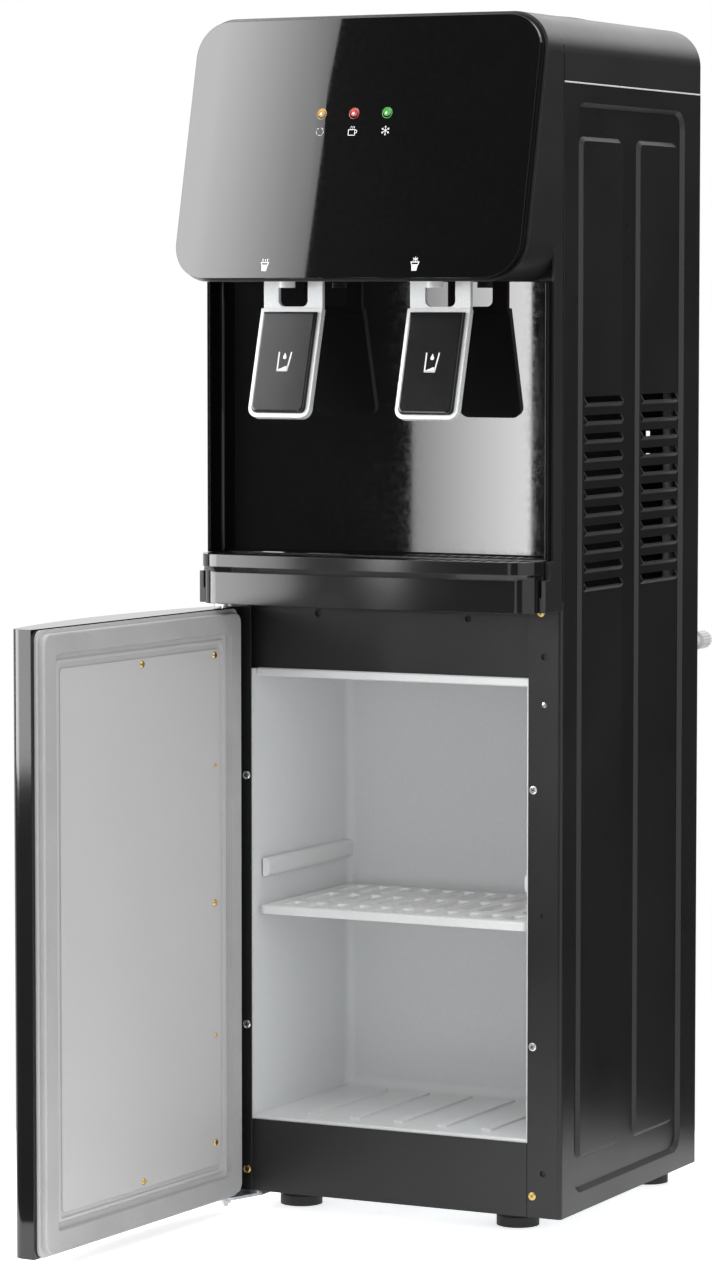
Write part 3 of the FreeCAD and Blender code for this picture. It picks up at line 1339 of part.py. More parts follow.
bend = num("condenser_pitch") * 0.48
half = num("condenser_half")
depth = num("condenser_y")
low = num("condenser_bottom")
runs = []
for k in range(CONDENSER_RUNS):
    level = low + k * num("condenser_pitch")
    way = 1 if k % 2 == 0 else -1
    runs += [V(-way * half, depth, level), V(way * half, depth, level)]
spots = [V(-half - 18, depth, low + 16), V(-half - 18, depth, low)] + runs[1:]
riser = num(f"{MOUNT} + 60")
spots += [V(-half, depth, riser), V(-half, num("compressor_y"), riser),
          V(num("compressor_x - compressor_radius"), num("compressor_y"), riser)]
node("condenser_tube", solid("condenser_tube", tube_shape(spots, num("condenser_tube"), bend)))
wire_y = "condenser_y + condenser_tube + condenser_wire"
wire_top = f"condenser_bottom + {CONDENSER_RUNS - 1} * condenser_pitch + 10"
wires = [rod("wire_%d" % k, f"{k} * condenser_half / 6", wire_y, "condenser_bottom - 10",
             "condenser_wire", f"{wire_top} - condenser_bottom + 10") for k in range(-5, 6)]
node("condenser_wires", group("condenser_wires", *wires))
straps = [box("strap_%d" % k, "-drain_x", "drain_x", f"{wire_y} + condenser_wire",
              "cabinet_depth - sheet_thickness", level, f"{level} + 12")
          for k, level in enumerate(("condenser_bottom + 4 * condenser_pitch", "condenser_bottom + 11.5 * condenser_pitch"))]
node("condenser_straps", group("condenser_straps", *straps))
drier_x = "-condenser_half - 18"
drier = fuse(
    "filter_drier",
    taper("drier_low", drier_x, "condenser_y", "condenser_bottom + 16", "condenser_tube", "9", "8"),
    rod("drier_body", drier_x, "condenser_y", "condenser_bottom + 24", "9", "70"),
    taper("drier_high", drier_x, "condenser_y", "condenser_bottom + 94", "9", "1.4", "8"))
capillary = solid("capillary", tube_shape(
    [point(drier_x, "condenser_y", "condenser_bottom + 102"),
     point(drier_x, "condenser_y", "condenser_bottom + 220"),
     point(drier_x, "foam_rear + sheet_thickness", "condenser_bottom + 220")], 1.1, 12.0))
x = "suction_x"
aside = "(suction_x - condenser_tube - compressor_x)"
reach = f"compressor_y + sqrt(compressor_radius ^ 2 - {aside} ^ 2)"
suction = solid("suction_pipe", tube_shape(
    [point(x, "foam_rear + sheet_thickness", "deck_height - 34"),
     point(x, "hose_rear_y", "deck_height - 34"), point(x, "hose_rear_y", f"{MOUNT} + 60"),
     point(x, reach, f"{MOUNT} + 60")], num("condenser_tube"), 12.0))
node("refrigerant_pipes", group("refrigerant_pipes", drier, capillary, suction))

# ---- rear cover with its switches and inlet ------------------------------------------------------------

SWITCHES = (("heater_switch", "switch_x"), ("cooling_switch", "switch_x + 24"))
cover_back = "cabinet_depth - sheet_thickness"


def switch_box(name, x, more, front, rear):
    return box(name, f"{x} - rocker_half_width - ({more})", f"{x} + rocker_half_width + ({more})",
               front, rear, f"switch_z - rocker_half_height - ({more})",
               f"switch_z + rocker_half_height + ({more})")


holes = [switch_box("cover_hole_" + label, x, "2.5", "cabinet_depth - 10", "cabinet_depth + 5")
         for label, x in SWITCHES]
inlet_hole = box("cover_hole_inlet", "inlet_x - 14", "inlet_x + 14", "cabinet_depth - 10",
                 "cabinet_depth + 5", "switch_z - 11", "switch_z + 11")
vents = doc.addObject("PartDesign::Body", "cover_vents")
first_vent = add(vents, "Y", "cabinet_depth - 10", "15",
                 several(*[round_oblong("-vent_width / 2 - 9 * vent_pitch",
                                        "vent_width / 2 - 9 * vent_pitch", low,
                                        f"{low} + vent_height", "vent_width / 2 - 0.1")
                           for low in ("deck_height + 40", "deck_height + 56 + vent_height")]))
repeat(vents, first_vent, "vent_pitch", 19)
node("rear_cover_upper", cut(
    "rear_cover_upper",
    box("rear_cover_sheet", "-rear_cover_half", "rear_cover_half",
        f"{cover_back} - sheet_thickness", cover_back, "rear_cover_bottom",
        "panel_top - 1"), *holes, inlet_hole, vents))
housings = []
for label, x in SWITCHES:
    pivot = "cabinet_depth - 3"
    housing = cut("housing_" + label,
                  fuse("housing_solid_" + label,
                       switch_box("housing_block_" + label, x, "2.5", "cabinet_depth - 20",
                                  "cabinet_depth"),
                       switch_box("housing_rim_" + label, x, "4", cover_back,
                                  "cabinet_depth + 1")),
                  switch_box("housing_room_" + label, x, "0.8", "cabinet_depth - 14",
                             "cabinet_depth + 5"),
                  rod("housing_pivot_" + label, f"{x} - rocker_half_width - 2", pivot, "switch_z",
                      "1.25", "2 * rocker_half_width + 4", "X"))
    housings.append(housing)
    rocker = fuse("rocker_" + label,
                  box("rocker_block_" + label, "-rocker_half_width", "rocker_half_width", "-4",
                      "5", "-rocker_half_height", "rocker_half_height"),
                  rod("rocker_pivot_" + label, "-rocker_half_width - 1.8", "0", "0", "1.2",
                      "2 * rocker_half_width + 3.6", "X"))
    rocker.Placement = FreeCAD.Placement(point(x, pivot, "switch_z"),
                                         FreeCAD.Rotation(V(1, 0, 0), -7))
    node(label, rocker)
node("switch_housings", group("switch_housings", *housings))
blades = [box("inlet_blade_%d" % k, f"inlet_x + ({dx}) - 1", f"inlet_x + ({dx}) + 1",
              "cabinet_depth - 17", "cabinet_depth - 3", f"switch_z + ({dz}) - 2",
              f"switch_z + ({dz}) + 2")
          for k, (dx, dz) in enumerate((("-7", "-2"), ("0", "3"), ("7", "-2")))]
node("power_inlet", fuse(
    "power_inlet",
    cut("inlet_shell",
        fuse("inlet_solid",
             box("inlet_block", "inlet_x - 14", "inlet_x + 14", "cabinet_depth - 20",
                 "cabinet_depth", "switch_z - 11", "switch_z + 11"),
             box("inlet_rim", "inlet_x - 16", "inlet_x + 16", cover_back, "cabinet_depth + 1.5",
                 "switch_z - 13", "switch_z + 13")),
        box("inlet_room", "inlet_x - 11.5", "inlet_x + 11.5", "cabinet_depth - 17",
            "cabinet_depth + 5", "switch_z - 8", "switch_z + 8")), *blades))

# ---- screws of the front flanges ------------------------------------------------------------------------


def front_screw(name, x, z):
    """Low domed head on the flange, with its shank through it."""
    head = taper(name + "_head", x, "-screw_head_height", z, "screw_head_radius * 0.72",
                 "screw_head_radius", "screw_head_height", "Y")
    shank = rod(name + "_shank", x, "0", z, "screw_shank_radius", "screw_length", "Y")
    return fuse(name, head, shank)


silver = [front_screw(f"silver_{side_name}_{k}", f"{sign}screw_line", height)
          for k, height in enumerate(SILVER_HEIGHTS)
          for side_name, sign in (("left", "-"), ("right", ""))]
node("screws_silver", group("screws_silver", *silver))
brass = [front_screw(f"brass_{side_name}_{k}", f"{sign}screw_line", height)
         for k, height in enumerate(BRASS_HEIGHTS)
         for side_name, sign in (("left", "-"), ("right", ""))]
brass.append(front_screw("brass_top", "top_screw_x", "top_screw_z"))
node("screws_brass", group("screws_brass", *brass))

doc.recompute()
failed = [thing.Name + " of " + str([owner.Label for owner in thing.InList])
          for thing in doc.Objects if "Invalid" in thing.State or "Error" in thing.State]
if failed:
    raise ValueError("these could not be built: " + ", ".join(failed))
os.makedirs("parts", exist_ok=True)
for thing in NODES:
    shape = thing.Shape
    if shape.isNull() or not shape.isValid():
        raise ValueError(thing.Label + " is not a sound shape")
    print(thing.Label, round(shape.Volume), len(shape.Solids))
    shape.exportStep("parts/%s.step" % thing.Label)
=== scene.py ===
"""Floor-standing water cooler with an open refrigerated cabinet: looks, trim, signs, studio, camera."""

import math

import bpy
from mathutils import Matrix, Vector


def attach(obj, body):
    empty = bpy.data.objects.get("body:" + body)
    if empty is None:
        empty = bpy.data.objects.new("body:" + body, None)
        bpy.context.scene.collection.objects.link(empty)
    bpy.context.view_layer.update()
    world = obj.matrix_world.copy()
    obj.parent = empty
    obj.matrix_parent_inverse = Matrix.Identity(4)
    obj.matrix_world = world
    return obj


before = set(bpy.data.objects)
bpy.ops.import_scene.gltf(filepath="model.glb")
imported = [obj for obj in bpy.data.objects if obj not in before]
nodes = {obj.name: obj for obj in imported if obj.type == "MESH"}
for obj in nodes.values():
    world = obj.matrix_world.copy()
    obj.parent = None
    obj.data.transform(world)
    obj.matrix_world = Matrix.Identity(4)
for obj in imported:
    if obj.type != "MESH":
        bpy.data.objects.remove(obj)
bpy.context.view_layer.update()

MM = 0.001
WHITE = (1, 1, 1, 1)


# ---- surfaces ----------------------------------------------------------------------------

NOISE_ROUGHNESS = 0.55
BUMP_STRENGTH = 0.6
BEVEL_SAMPLES = 4
LENS_GLOW = 0.8


def new_material(name):
    """Node material, its tree and its principled shader."""
    material = bpy.data.materials.new(name)
    material.use_nodes = True
    tree = material.node_tree
    return material, tree, tree.nodes["Principled BSDF"]


def noise(tree, scale, detail=3.0, stretch=(1, 1, 1)):
    """Noise over the object's own coordinates, stretched along an axis where asked."""
    place = tree.nodes.new("ShaderNodeTexCoord")
    mapping = tree.nodes.new("ShaderNodeMapping")
    mapping.inputs["Scale"].default_value = stretch
    texture = tree.nodes.new("ShaderNodeTexNoise")
    texture.inputs["Scale"].default_value = scale
    texture.inputs["Detail"].default_value = detail
    texture.inputs["Roughness"].default_value = NOISE_ROUGHNESS
    tree.links.new(place.outputs["Object"], mapping.inputs["Vector"])
    tree.links.new(mapping.outputs["Vector"], texture.inputs["Vector"])
    return texture.outputs["Fac"]


def cell_pattern(tree, scale, output):
    """Pattern of cells over the object's own coordinates: their shades or their hollows."""
    place = tree.nodes.new("ShaderNodeTexCoord")
    voronoi = tree.nodes.new("ShaderNodeTexVoronoi")
    voronoi.inputs["Scale"].default_value = scale
    tree.links.new(place.outputs["Object"], voronoi.inputs["Vector"])
    return voronoi.outputs[output]


def spread(tree, value, low, high, start=0.35, end=0.65):
    """Maps a value, by default the usual span of a noise, onto a range."""
    ranged = tree.nodes.new("ShaderNodeMapRange")
    ranged.inputs["From Min"].default_value = start
    ranged.inputs["From Max"].default_value = end
    ranged.inputs["To Min"].default_value = low
    ranged.inputs["To Max"].default_value = high
    tree.links.new(value, ranged.inputs["Value"])
    return ranged.outputs["Result"]


def blend(tree, value, first, second):
    """Mixes two colours by a value."""
    mix = tree.nodes.new("ShaderNodeMix")
    mix.data_type = "RGBA"
    mix.inputs["A"].default_value = (*first, 1)
    mix.inputs["B"].default_value = (*second, 1)
    tree.links.new(value, mix.inputs["Factor"])
    return mix.outputs["Result"]


def calculated(tree, operation, *operands):
    """Result of a math node, whose operands are sockets or numbers."""
    node = tree.nodes.new("ShaderNodeMath")
    node.operation = operation
    for socket, operand in zip(node.inputs, operands):
        if isinstance(operand, (int, float)):
            socket.default_value = operand
        else:
            tree.links.new(operand, socket)
    return node.outputs[0]


def shaped_normal(tree, bevel, relief, height):
    """Normal with softened edges and a relief, both in millimetres; None where there is neither."""
    normal = None
    if bevel:
        edge = tree.nodes.new("ShaderNodeBevel")
        edge.samples = BEVEL_SAMPLES
        edge.inputs["Radius"].default_value = bevel * MM
        normal = edge.outputs["Normal"]
    if relief:
        bump = tree.nodes.new("ShaderNodeBump")
        bump.inputs["Strength"].default_value = BUMP_STRENGTH
        bump.inputs["Distance"].default_value = relief * MM
        tree.links.new(height, bump.inputs["Height"])
        if normal:
            tree.links.new(normal, bump.inputs["Normal"])
        normal = bump.outputs["Normal"]
    return normal


def surface(name, first, second, rough, grain=400, patch=9, relief=0.0, bevel=0.5,
            stretch=(1, 1, 1), cells=None, **sockets):
    """Painted, moulded or bare surface.

    Its tone goes from the first to the second colour, and its roughness over a range, by a fine
    grain and broad patches. The grain can be a noise or cells, and carries the relief.
    """
    material, tree, shader = new_material(name)
    drift = noise(tree, patch, 4.0)
    fine = cell_pattern(tree, grain, cells) if cells else noise(tree, grain, 2.0, stretch)
    mixed = calculated(tree, "MULTIPLY_ADD", fine, 0.5, calculated(tree, "MULTIPLY", drift, 0.5))
    tone = blend(tree, spread(tree, mixed, 0, 1), first, second)
    tree.links.new(tone, shader.inputs["Base Color"])
    tree.links.new(spread(tree, mixed, *rough), shader.inputs["Roughness"])
    normal = shaped_normal(tree, bevel, relief, fine)
    if normal:
        tree.links.new(normal, shader.inputs["Normal"])
    for socket, value in sockets.items():
        shader.inputs[socket.replace("_", " ")].default_value = value
    return material


def lens(name, first, second):
    """Lit indicator lens: tinted plastic with an uneven glow."""
    material = surface(name, first, second, (0.08, 0.2), 700, 60, bevel=0)
    tree = material.node_tree
    shader = tree.nodes["Principled BSDF"]
    pale = [0.2 + 0.8 * part for part in second]
    tint = blend(tree, spread(tree, noise(tree, 420, 1.0), 0, 1), second, pale)
    tree.links.new(tint, shader.inputs["Emission Color"])
    shader.inputs["Emission Strength"].default_value = LENS_GLOW
    return material


LOOKS = {
    "black_steel": surface("black_steel_coat", (0.009, 0.0092, 0.0095), (0.0135, 0.0138, 0.0142),
                           (0.27, 0.38), 900, 7, 0.22, 0.8, Specular_IOR_Level=0.45),
    "galvanised": surface("galvanised_steel", (0.42, 0.44, 0.46), (0.62, 0.64, 0.66),
                          (0.3, 0.48), 90, 11, 0.01, 0.4, cells="Color", Metallic=1.0),
    # also the dark of the painted shade in holes and in screw recesses
    "black_foot": surface("foot_rubber_and_painted_shade", (0.012, 0.012, 0.012), (0.024, 0.024, 0.023),
                          (0.55, 0.75), 900, 30, 0.06, 0.6),
    "white_liner": surface("liner_sheet", (0.74, 0.745, 0.75), (0.79, 0.79, 0.79),
                           (0.32, 0.46), 500, 5, 0.015, 1.2, Subsurface_Weight=0.05),
    "foam": surface("rigid_foam", (0.62, 0.5, 0.26), (0.74, 0.63, 0.36),
                    (0.8, 0.95), 420, 14, 0.3, 0, cells="Distance"),
    "white_shelf": surface("shelf_moulding", (0.8, 0.8, 0.8), (0.86, 0.86, 0.86),
                           (0.28, 0.42), 600, 8, 0.012, 0.8, Subsurface_Weight=0.05),
    "satin_black": surface("satin_moulding", (0.018, 0.0182, 0.0186), (0.026, 0.0263, 0.0268),
                           (0.28, 0.38), 1300, 9, 0.02, 0.8),
    "gloss_black": surface("gloss_moulding", (0.0028, 0.0028, 0.003), (0.0042, 0.0042, 0.0045),
                           (0.015, 0.04), 260, 6, 0.0, 0.7),
    "door_grey": surface("door_liner", (0.57, 0.57, 0.57), (0.61, 0.61, 0.61),
                         (0.34, 0.5), 800, 4, 0.02, 1.0),
    "seal_grey": surface("seal_vinyl", (0.42, 0.42, 0.425), (0.5, 0.5, 0.505),
                         (0.5, 0.68), 900, 20, 0.03, 0.6),
    "brass": surface("brass", (0.62, 0.4, 0.12), (0.78, 0.56, 0.22),
                     (0.2, 0.38), 1400, 60, 0.01, 0.2, Metallic=1.0),
    "silver_screw": surface("zinc_plate", (0.6, 0.61, 0.62), (0.78, 0.78, 0.78),
                            (0.2, 0.36), 1400, 60, 0.01, 0.2, Metallic=1.0),
    "nylon": surface("nylon", (0.6, 0.59, 0.55), (0.7, 0.69, 0.65),
                     (0.4, 0.55), 700, 20, 0.01, 0.3, Subsurface_Weight=0.1),
    "amber_lens": lens("amber_lens_glow", (0.1, 0.055, 0.004), (0.36, 0.2, 0.015)),
    "red_lens": lens("red_lens_glow", (0.12, 0.008, 0.005), (0.34, 0.02, 0.01)),
    "green_lens": lens("green_lens_glow", (0.008, 0.08, 0.006), (0.03, 0.26, 0.02)),
    "board": surface("circuit_board", (0.012, 0.1, 0.03), (0.02, 0.15, 0.05),
                     (0.3, 0.5), 300, 40, 0.03, 0),
    # also the look of the painted highlight strips along the side panels' top edges
    "white_tap": surface("tap_moulding_and_painted_edge_highlight", (0.72, 0.725, 0.73), (0.78, 0.78, 0.785),
                         (0.2, 0.32), 700, 15, 0.006, 0.6, Subsurface_Weight=0.05),
    "stainless": surface("stainless_steel", (0.5, 0.5, 0.5), (0.66, 0.66, 0.66),
                         (0.2, 0.36), 260, 12, 0.012, 0.3, (1, 1, 14), Metallic=1.0),
    "silicone": surface("silicone_hose", (0.62, 0.63, 0.62), (0.74, 0.75, 0.74),
                        (0.35, 0.5), 300, 20, 0.01, 0, Subsurface_Weight=0.2),
    "black_paint": surface("stove_enamel", (0.012, 0.012, 0.013), (0.022, 0.022, 0.023),
                           (0.3, 0.46), 700, 14, 0.03, 0.3),
    "copper": surface("copper", (0.5, 0.2, 0.1), (0.7, 0.34, 0.18),
                      (0.25, 0.45), 500, 30, 0.008, 0, Metallic=1.0),
    "switch_red": surface("switch_red_lens", (0.42, 0.014, 0.01), (0.56, 0.025, 0.018),
                          (0.15, 0.28), 700, 30, 0.004, 0.4),
    "switch_green": surface("switch_green_lens", (0.012, 0.2, 0.03), (0.022, 0.3, 0.05),
                            (0.15, 0.28), 700, 30, 0.004, 0.4),
}
TRAY_LOOK = surface("tray_moulding", (0.008, 0.008, 0.0084), (0.012, 0.012, 0.0124),
                    (0.09, 0.13), 900, 9, 0.004, 0.9)
PAD_LOOK = surface("pad_moulding", (0.005, 0.005, 0.0053), (0.009, 0.009, 0.0094),
                   (0.1, 0.16), 900, 12, 0.004, 0.5)
DOOR_LOOK = surface("door_coat", (0.006, 0.006, 0.0063), (0.009, 0.009, 0.0094),
                    (0.05, 0.08), 700, 9, 0.002, 0.9)
# white print, also used for the painted highlight discs on the indicator lenses
PRINT_AND_PAINTED_GLINT = surface("white_print", (0.6, 0.6, 0.6), (0.68, 0.68, 0.68), (0.4, 0.55), 2500, 90)
FLAG_CLOTH = surface("flag_cloth", (0.004, 0.004, 0.004), (0.008, 0.008, 0.008),
                     (0.85, 0.95), 60, 2, bevel=0)

OWN_LOOKS = {
    "drip_tray": TRAY_LOOK,
    "drip_grille": TRAY_LOOK,
    "door_shell": DOOR_LOOK,
    "lever_pad_left": PAD_LOOK,
    "lever_pad_right": PAD_LOOK,
    "decks": LOOKS["black_steel"],
}

for name, node in nodes.items():
    for held in node.material_slots:
        held.material = OWN_LOOKS.get(name) or LOOKS[held.material.name.split(".")[0]]


# ---- making pieces (millimetres) ---------------------------------------------------------

CAST_START = -400.0     # Y from which lines are cast back onto the fronts
BEVEL_STEPS = 3
AROUND = 24             # points on a small circle


def spoke(reach, angle):
    """Point at a reach and an angle in degrees from the right, counter-clockwise."""
    turn = math.radians(angle)
    return reach * math.cos(turn), reach * math.sin(turn)


def arc(radius, start, end, steps, centre=(0, 0)):
    """Points on an arc between two angles."""
    around = [spoke(radius, start + (end - start) * k / steps) for k in range(steps + 1)]
    return [(centre[0] + u, centre[1] + v) for u, v in around]


def circle(radius, count=AROUND):
    """Points on a circle."""
    return arc(radius, 0, 360 - 360 / count, count - 1)


def add_piece(name, points, polygons, look, body="cabinet", bevel=0.0):
    """Mesh piece that rides on a body."""
    mesh = bpy.data.meshes.new(name)
    mesh.from_pydata([Vector(p) * MM for p in points], [], polygons)
    mesh.materials.append(look)
    piece = bpy.data.objects.new(name, mesh)
    bpy.context.scene.collection.objects.link(piece)
    if bevel:
        edge = piece.modifiers.new("edge", "BEVEL")
        edge.width = bevel * MM
        edge.segments = BEVEL_STEPS
        edge.limit_method = "ANGLE"
    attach(piece, body)
    return piece


def wrapped(rings, around, closed=False):
    """Quads between rings of points, and from the last ring to the first where it is closed."""
    quads = []
    for ring in range(rings if closed else rings - 1):
        here, there = ring * around, (ring + 1) % rings * around
        for k in range(around):
            after = (k + 1) % around
            quads.append((here + k, here + after, there + after, there + k))
    return quads


def swept(name, outline, spots, look, body="cabinet", bevel=0.0):
    """Closed outline carried from spot to spot, with both ends closed."""
    points = [place(u, v) for place in spots for u, v in outline]
    polygons = wrapped(len(spots), len(outline))
    polygons.append(tuple(reversed(range(len(outline)))))
    polygons.append(tuple(range(len(points) - len(outline), len(points))))
    return add_piece(name, points, polygons, look, body, bevel)


def block(name, low, high, look, bevel=0.0):
    """Bar between two corners."""
    (x0, y0, z0), (x1, y1, z1) = low, high
    outline = [(y0, z0), (y1, z0), (y1, z1), (y0, z1)]
    return swept(name, outline, [lambda u, v, x=x: (x, u, v) for x in (x0, x1)], look, bevel=bevel)


def met(target, start, way):
    """Whether a line from a start meets an object, and where."""
    hit, place, _, _ = target.ray_cast(Vector(start) * MM, Vector(way))
    return hit, place / MM


def front_of(target, x, z):
    """Point of an object's front at (x, z)."""
    _, place = met(target, (x, CAST_START, z), (0, 1, 0))
    return place


# ---- signs -------------------------------------------------------------------------------

PRINT_LIFT = 0.06


def stroke(points, width, closed=False):
    """Quads that follow a line with a given width and run over its corners."""
    quads = []
    over = width / 3
    ends = zip(points, points[1:] + points[:1]) if closed else zip(points, points[1:])
    for (ax, ay), (bx, by) in ends:
        length = math.hypot(bx - ax, by - ay)
        ux, uy = (bx - ax) / length, (by - ay) / length
        nx, ny = -uy * width / 2, ux * width / 2
        ax, ay = ax - ux * over, ay - uy * over
        bx, by = bx + ux * over, by + uy * over
        quads.append([(ax - nx, ay - ny), (bx - nx, by - ny), (bx + nx, by + ny), (ax + nx, ay + ny)])
    return quads


def printed(name, target, faces, x, z, body="cabinet", lift=PRINT_LIFT, look=PRINT_AND_PAINTED_GLINT):
    """Lays flat faces, drawn about (x, z), on the front of an object."""
    points, polygons = [], []
    for face in faces:
        polygons.append(list(range(len(points), len(points) + len(face))))
        for u, v in face:
            place = front_of(target, x + u, z + v)
            points.append((place.x, place.y - lift, place.z))
    return add_piece(name, points, polygons, look, body)


def drop(x, y, radius):
    """Falling drop, point up."""
    return [arc(radius, -215, 35, 16, (x, y)) + [(x, y + radius * 2.3)]]


def power_ring():
    """Broken ring of arrows, each given by its angles and steps."""
    parts = ((-28, 72, 8), (112, 150, 4), (166, 228, 6), (246, 318, 7))
    return [quad for start, end, steps in parts for quad in stroke(arc(3.1, start, end, steps), 0.42)]


def mug():
    """Mug with a handle and steam."""
    faces = stroke([(-3.4, 1.2), (2.2, 1.2), (2.2, -3.2), (-3.4, -3.2)], 0.6, True)
    faces += stroke([(2.2, 1.2), (3.9, 0.4), (4.0, -1.0), (2.2, -2.2)], 0.5)
    for x, top, width in ((-1.7, 3.8, 0.42), (0.0, 4.0, 0.42), (1.3, 3.6, 0.4)):
        faces += stroke([(x, 2.2), (x + 0.4, top)], width)
    return faces


def snowflake():
    """Six arms, each with two barbs."""
    faces = []
    for turn in range(90, 450, 60):
        faces += stroke([(0, 0), spoke(3.7, turn)], 0.5)
        root = spoke(2.3, turn)
        for side in (-45, 45):
            barb = spoke(1.1, turn + side)
            faces += stroke([root, (root[0] + barb[0], root[1] + barb[1])], 0.36)
    return faces


def cup():
    """Half-filled cup."""
    return (stroke([(-3.4, 2.4), (3.6, 2.4)], 0.8)
            + stroke([(-3.1, 2.4), (-2.7, 0.4)], 0.7)
            + stroke([(3.2, 2.4), (2.9, 0.4)], 0.7)
            + [[(-2.8, 0.6), (-2.2, -4.4), (1.9, -4.4), (2.9, 0.6)]])


def hot_cup():
    """Cup with steam."""
    faces = cup()
    for x, top, width in ((-2.0, 5.0, 0.75), (0.4, 4.7, 0.7), (2.4, 5.1, 0.85)):
        faces += stroke([(x, 3.5), (x, top)], width)
    return faces


def cold_cup():
    """Cup with an ice star."""
    faces = cup()
    for turn in (30, 90, 150):
        across, up = spoke(1, turn)
        u, v = 2.2 * across, 1.7 * up
        faces += stroke([(0.3 - u, 4.6 - v), (0.3 + u, 4.6 + v)], 0.6)
    return faces


def glass():
    """Glass with water and a falling drop."""
    water = [(-5.0, -7.2), (3.4, -7.2), (3.9, -3.6), (1.2, -3.6), (-1.6, -5.0), (-5.0, -6.0)]
    return stroke([(-5.4, 7.4), (-5.4, -7.0), (3.2, -7.0), (5.6, 7.4)], 1.2) + [water] + drop(0.0, 3.6, 1.6)


# ---- paddles -----------------------------------------------------------------------------

PADDLE_MIDDLE = 65.6
PADDLE_PIVOT = (-35.6, 743.0)       # Y and Z about which a paddle leans
PADDLE_LEAN = math.radians(-16.0)
PADDLE_FACE = -7.3
PAD_HALF = 24.0
PAD_LENGTH = 90.5
PAD_REACH = 43.0                    # half of the height that an inset is taken from
PAD_GAP = 0.4
PAD_TOP = 3.9
PAD_CORNER = 4.4
PAD_FOOT = 8.3
PAD_STRAIGHT = 8.5                  # height over the foot where the left edge starts to turn
PAD_STEPS = ((0.0, 0.0), (1.6, 0.25), (2.1, 0.7), (2.3, 1.5))    # height and inset of the edge
GLASS_PLACE = (1.4, 702)


def pad_outline():
    """Outline of a pad: square at its top and rounded at its foot."""
    edge = PAD_HALF - PAD_GAP
    foot = PAD_FOOT - PAD_LENGTH
    left = arc(PAD_CORNER, 180, 270, 6, (PAD_CORNER - edge, foot))
    right = arc(PAD_CORNER, 270, 360, 6, (edge - PAD_CORNER, foot))
    straight = PAD_STRAIGHT - PAD_LENGTH
    return [(-edge, -PAD_TOP), (-edge, straight), *left[1:], *right, (edge, -PAD_TOP)]


def pad_cap(side, middle):
    """Rounded face of a paddle, standing proud of its white frame."""
    def layer(height, inset):
        def place(u, v):
            across = u * (1 - inset / PAD_HALF)
            y = PADDLE_FACE - height
            z = (v + PAD_LENGTH / 2) * (1 - inset / PAD_REACH) - PAD_LENGTH / 2
            return (middle + across,
                    PADDLE_PIVOT[0] + y * math.cos(PADDLE_LEAN) - z * math.sin(PADDLE_LEAN),
                    PADDLE_PIVOT[1] + y * math.sin(PADDLE_LEAN) + z * math.cos(PADDLE_LEAN))
        return place

    layers = [layer(height, inset) for height, inset in PAD_STEPS]
    return swept("pad_cap_" + side, pad_outline(), layers, PAD_LOOK, "lever_" + side)


# ---- indicators and screws ---------------------------------------------------------------

INDICATORS = {"amber": -29, "red": 0, "green": 29}
INDICATOR_HEIGHT = 898.6
RING_RADIUS = 4.2
RING_WIRE = 0.28
# white disc on a lens: painted highlight
GLINT_RADIUS = 1.0
GLINT_SHIFT = -0.4
GLINT_LIFT = 0.1
RECESS_REACH = 1.7
RECESS_WIDTH = 0.6
RECESS_LIFT = 0.03
RECESS_TILT = 20                    # degrees, for the first screw of a node
RECESS_TURN = 37                    # degrees from one screw to the next
HEAD_SPAN = 9.0                     # points nearer than this belong to one screw
HOLE_LINE = 139.2
HOLE_HEIGHTS = (467.8, 260, 51.3)
SHADE_HALF = 4
SHADE_DEPTHS = (1.5, 2.6)
BUTTON_HEIGHT = 429.4
BUTTON_RADIUS = 2.4
BUTTON_BACK = 0.6
BUTTON_PROUD = 0.55


def lens_ring(tone, middle):
    """Lit ring round an indicator lens, laid on the fascia."""
    tube = circle(RING_WIRE, 6)
    points = []
    for u, v in circle(RING_RADIUS):
        place = front_of(nodes["front_fascia"], middle + u, INDICATOR_HEIGHT + v)
        for out, back in tube:
            grown = 1 + out / RING_RADIUS
            points.append((middle + u * grown, place.y + back, INDICATOR_HEIGHT + v * grown))
    add_piece("lens_ring_" + tone, points, wrapped(AROUND, len(tube), True), LOOKS[tone + "_lens"])


def screw_middles(node):
    """Middles (x, z) of the separate screw heads in a node."""
    groups = []
    for vertex in node.data.vertices:
        place = node.matrix_world @ vertex.co / MM
        near = (g for g in groups if math.hypot(g[0][0] - place.x, g[0][1] - place.z) < HEAD_SPAN)
        group = next(near, None)
        if group is None:
            groups.append([(place.x, place.z)])
        else:
            group.append((place.x, place.z))
    return [tuple((min(axis) + max(axis)) / 2 for axis in zip(*group)) for group in groups]


def recess_painted_shade(name, node, x, z, tilt):
    """Dark cross on a screw head: painted shade of its cross recess."""
    faces = []
    for turn in (tilt, tilt + 90):
        u, v = spoke(RECESS_REACH, turn)
        faces += stroke([(-u, -v), (u, v)], RECESS_WIDTH)
    printed(name, node, faces, x, z, lift=RECESS_LIFT, look=LOOKS["black_foot"])


def jamb_button():
    """Plated button that fills one of the holes in the right jamb."""
    rises = [math.radians(a) for a in (0, 25, 50, 72)]
    points = [(HOLE_LINE + u, BUTTON_BACK - BUTTON_PROUD * math.sin(rise), BUTTON_HEIGHT + v)
              for rise in rises for u, v in circle(BUTTON_RADIUS * math.cos(rise))]
    polygons = wrapped(len(rises), AROUND)
    polygons.append(tuple(range(len(points) - AROUND, len(points))))
    add_piece("jamb_button", points, polygons, LOOKS["silver_screw"])


# ---- trim of the cabinet and the head ----------------------------------------------------

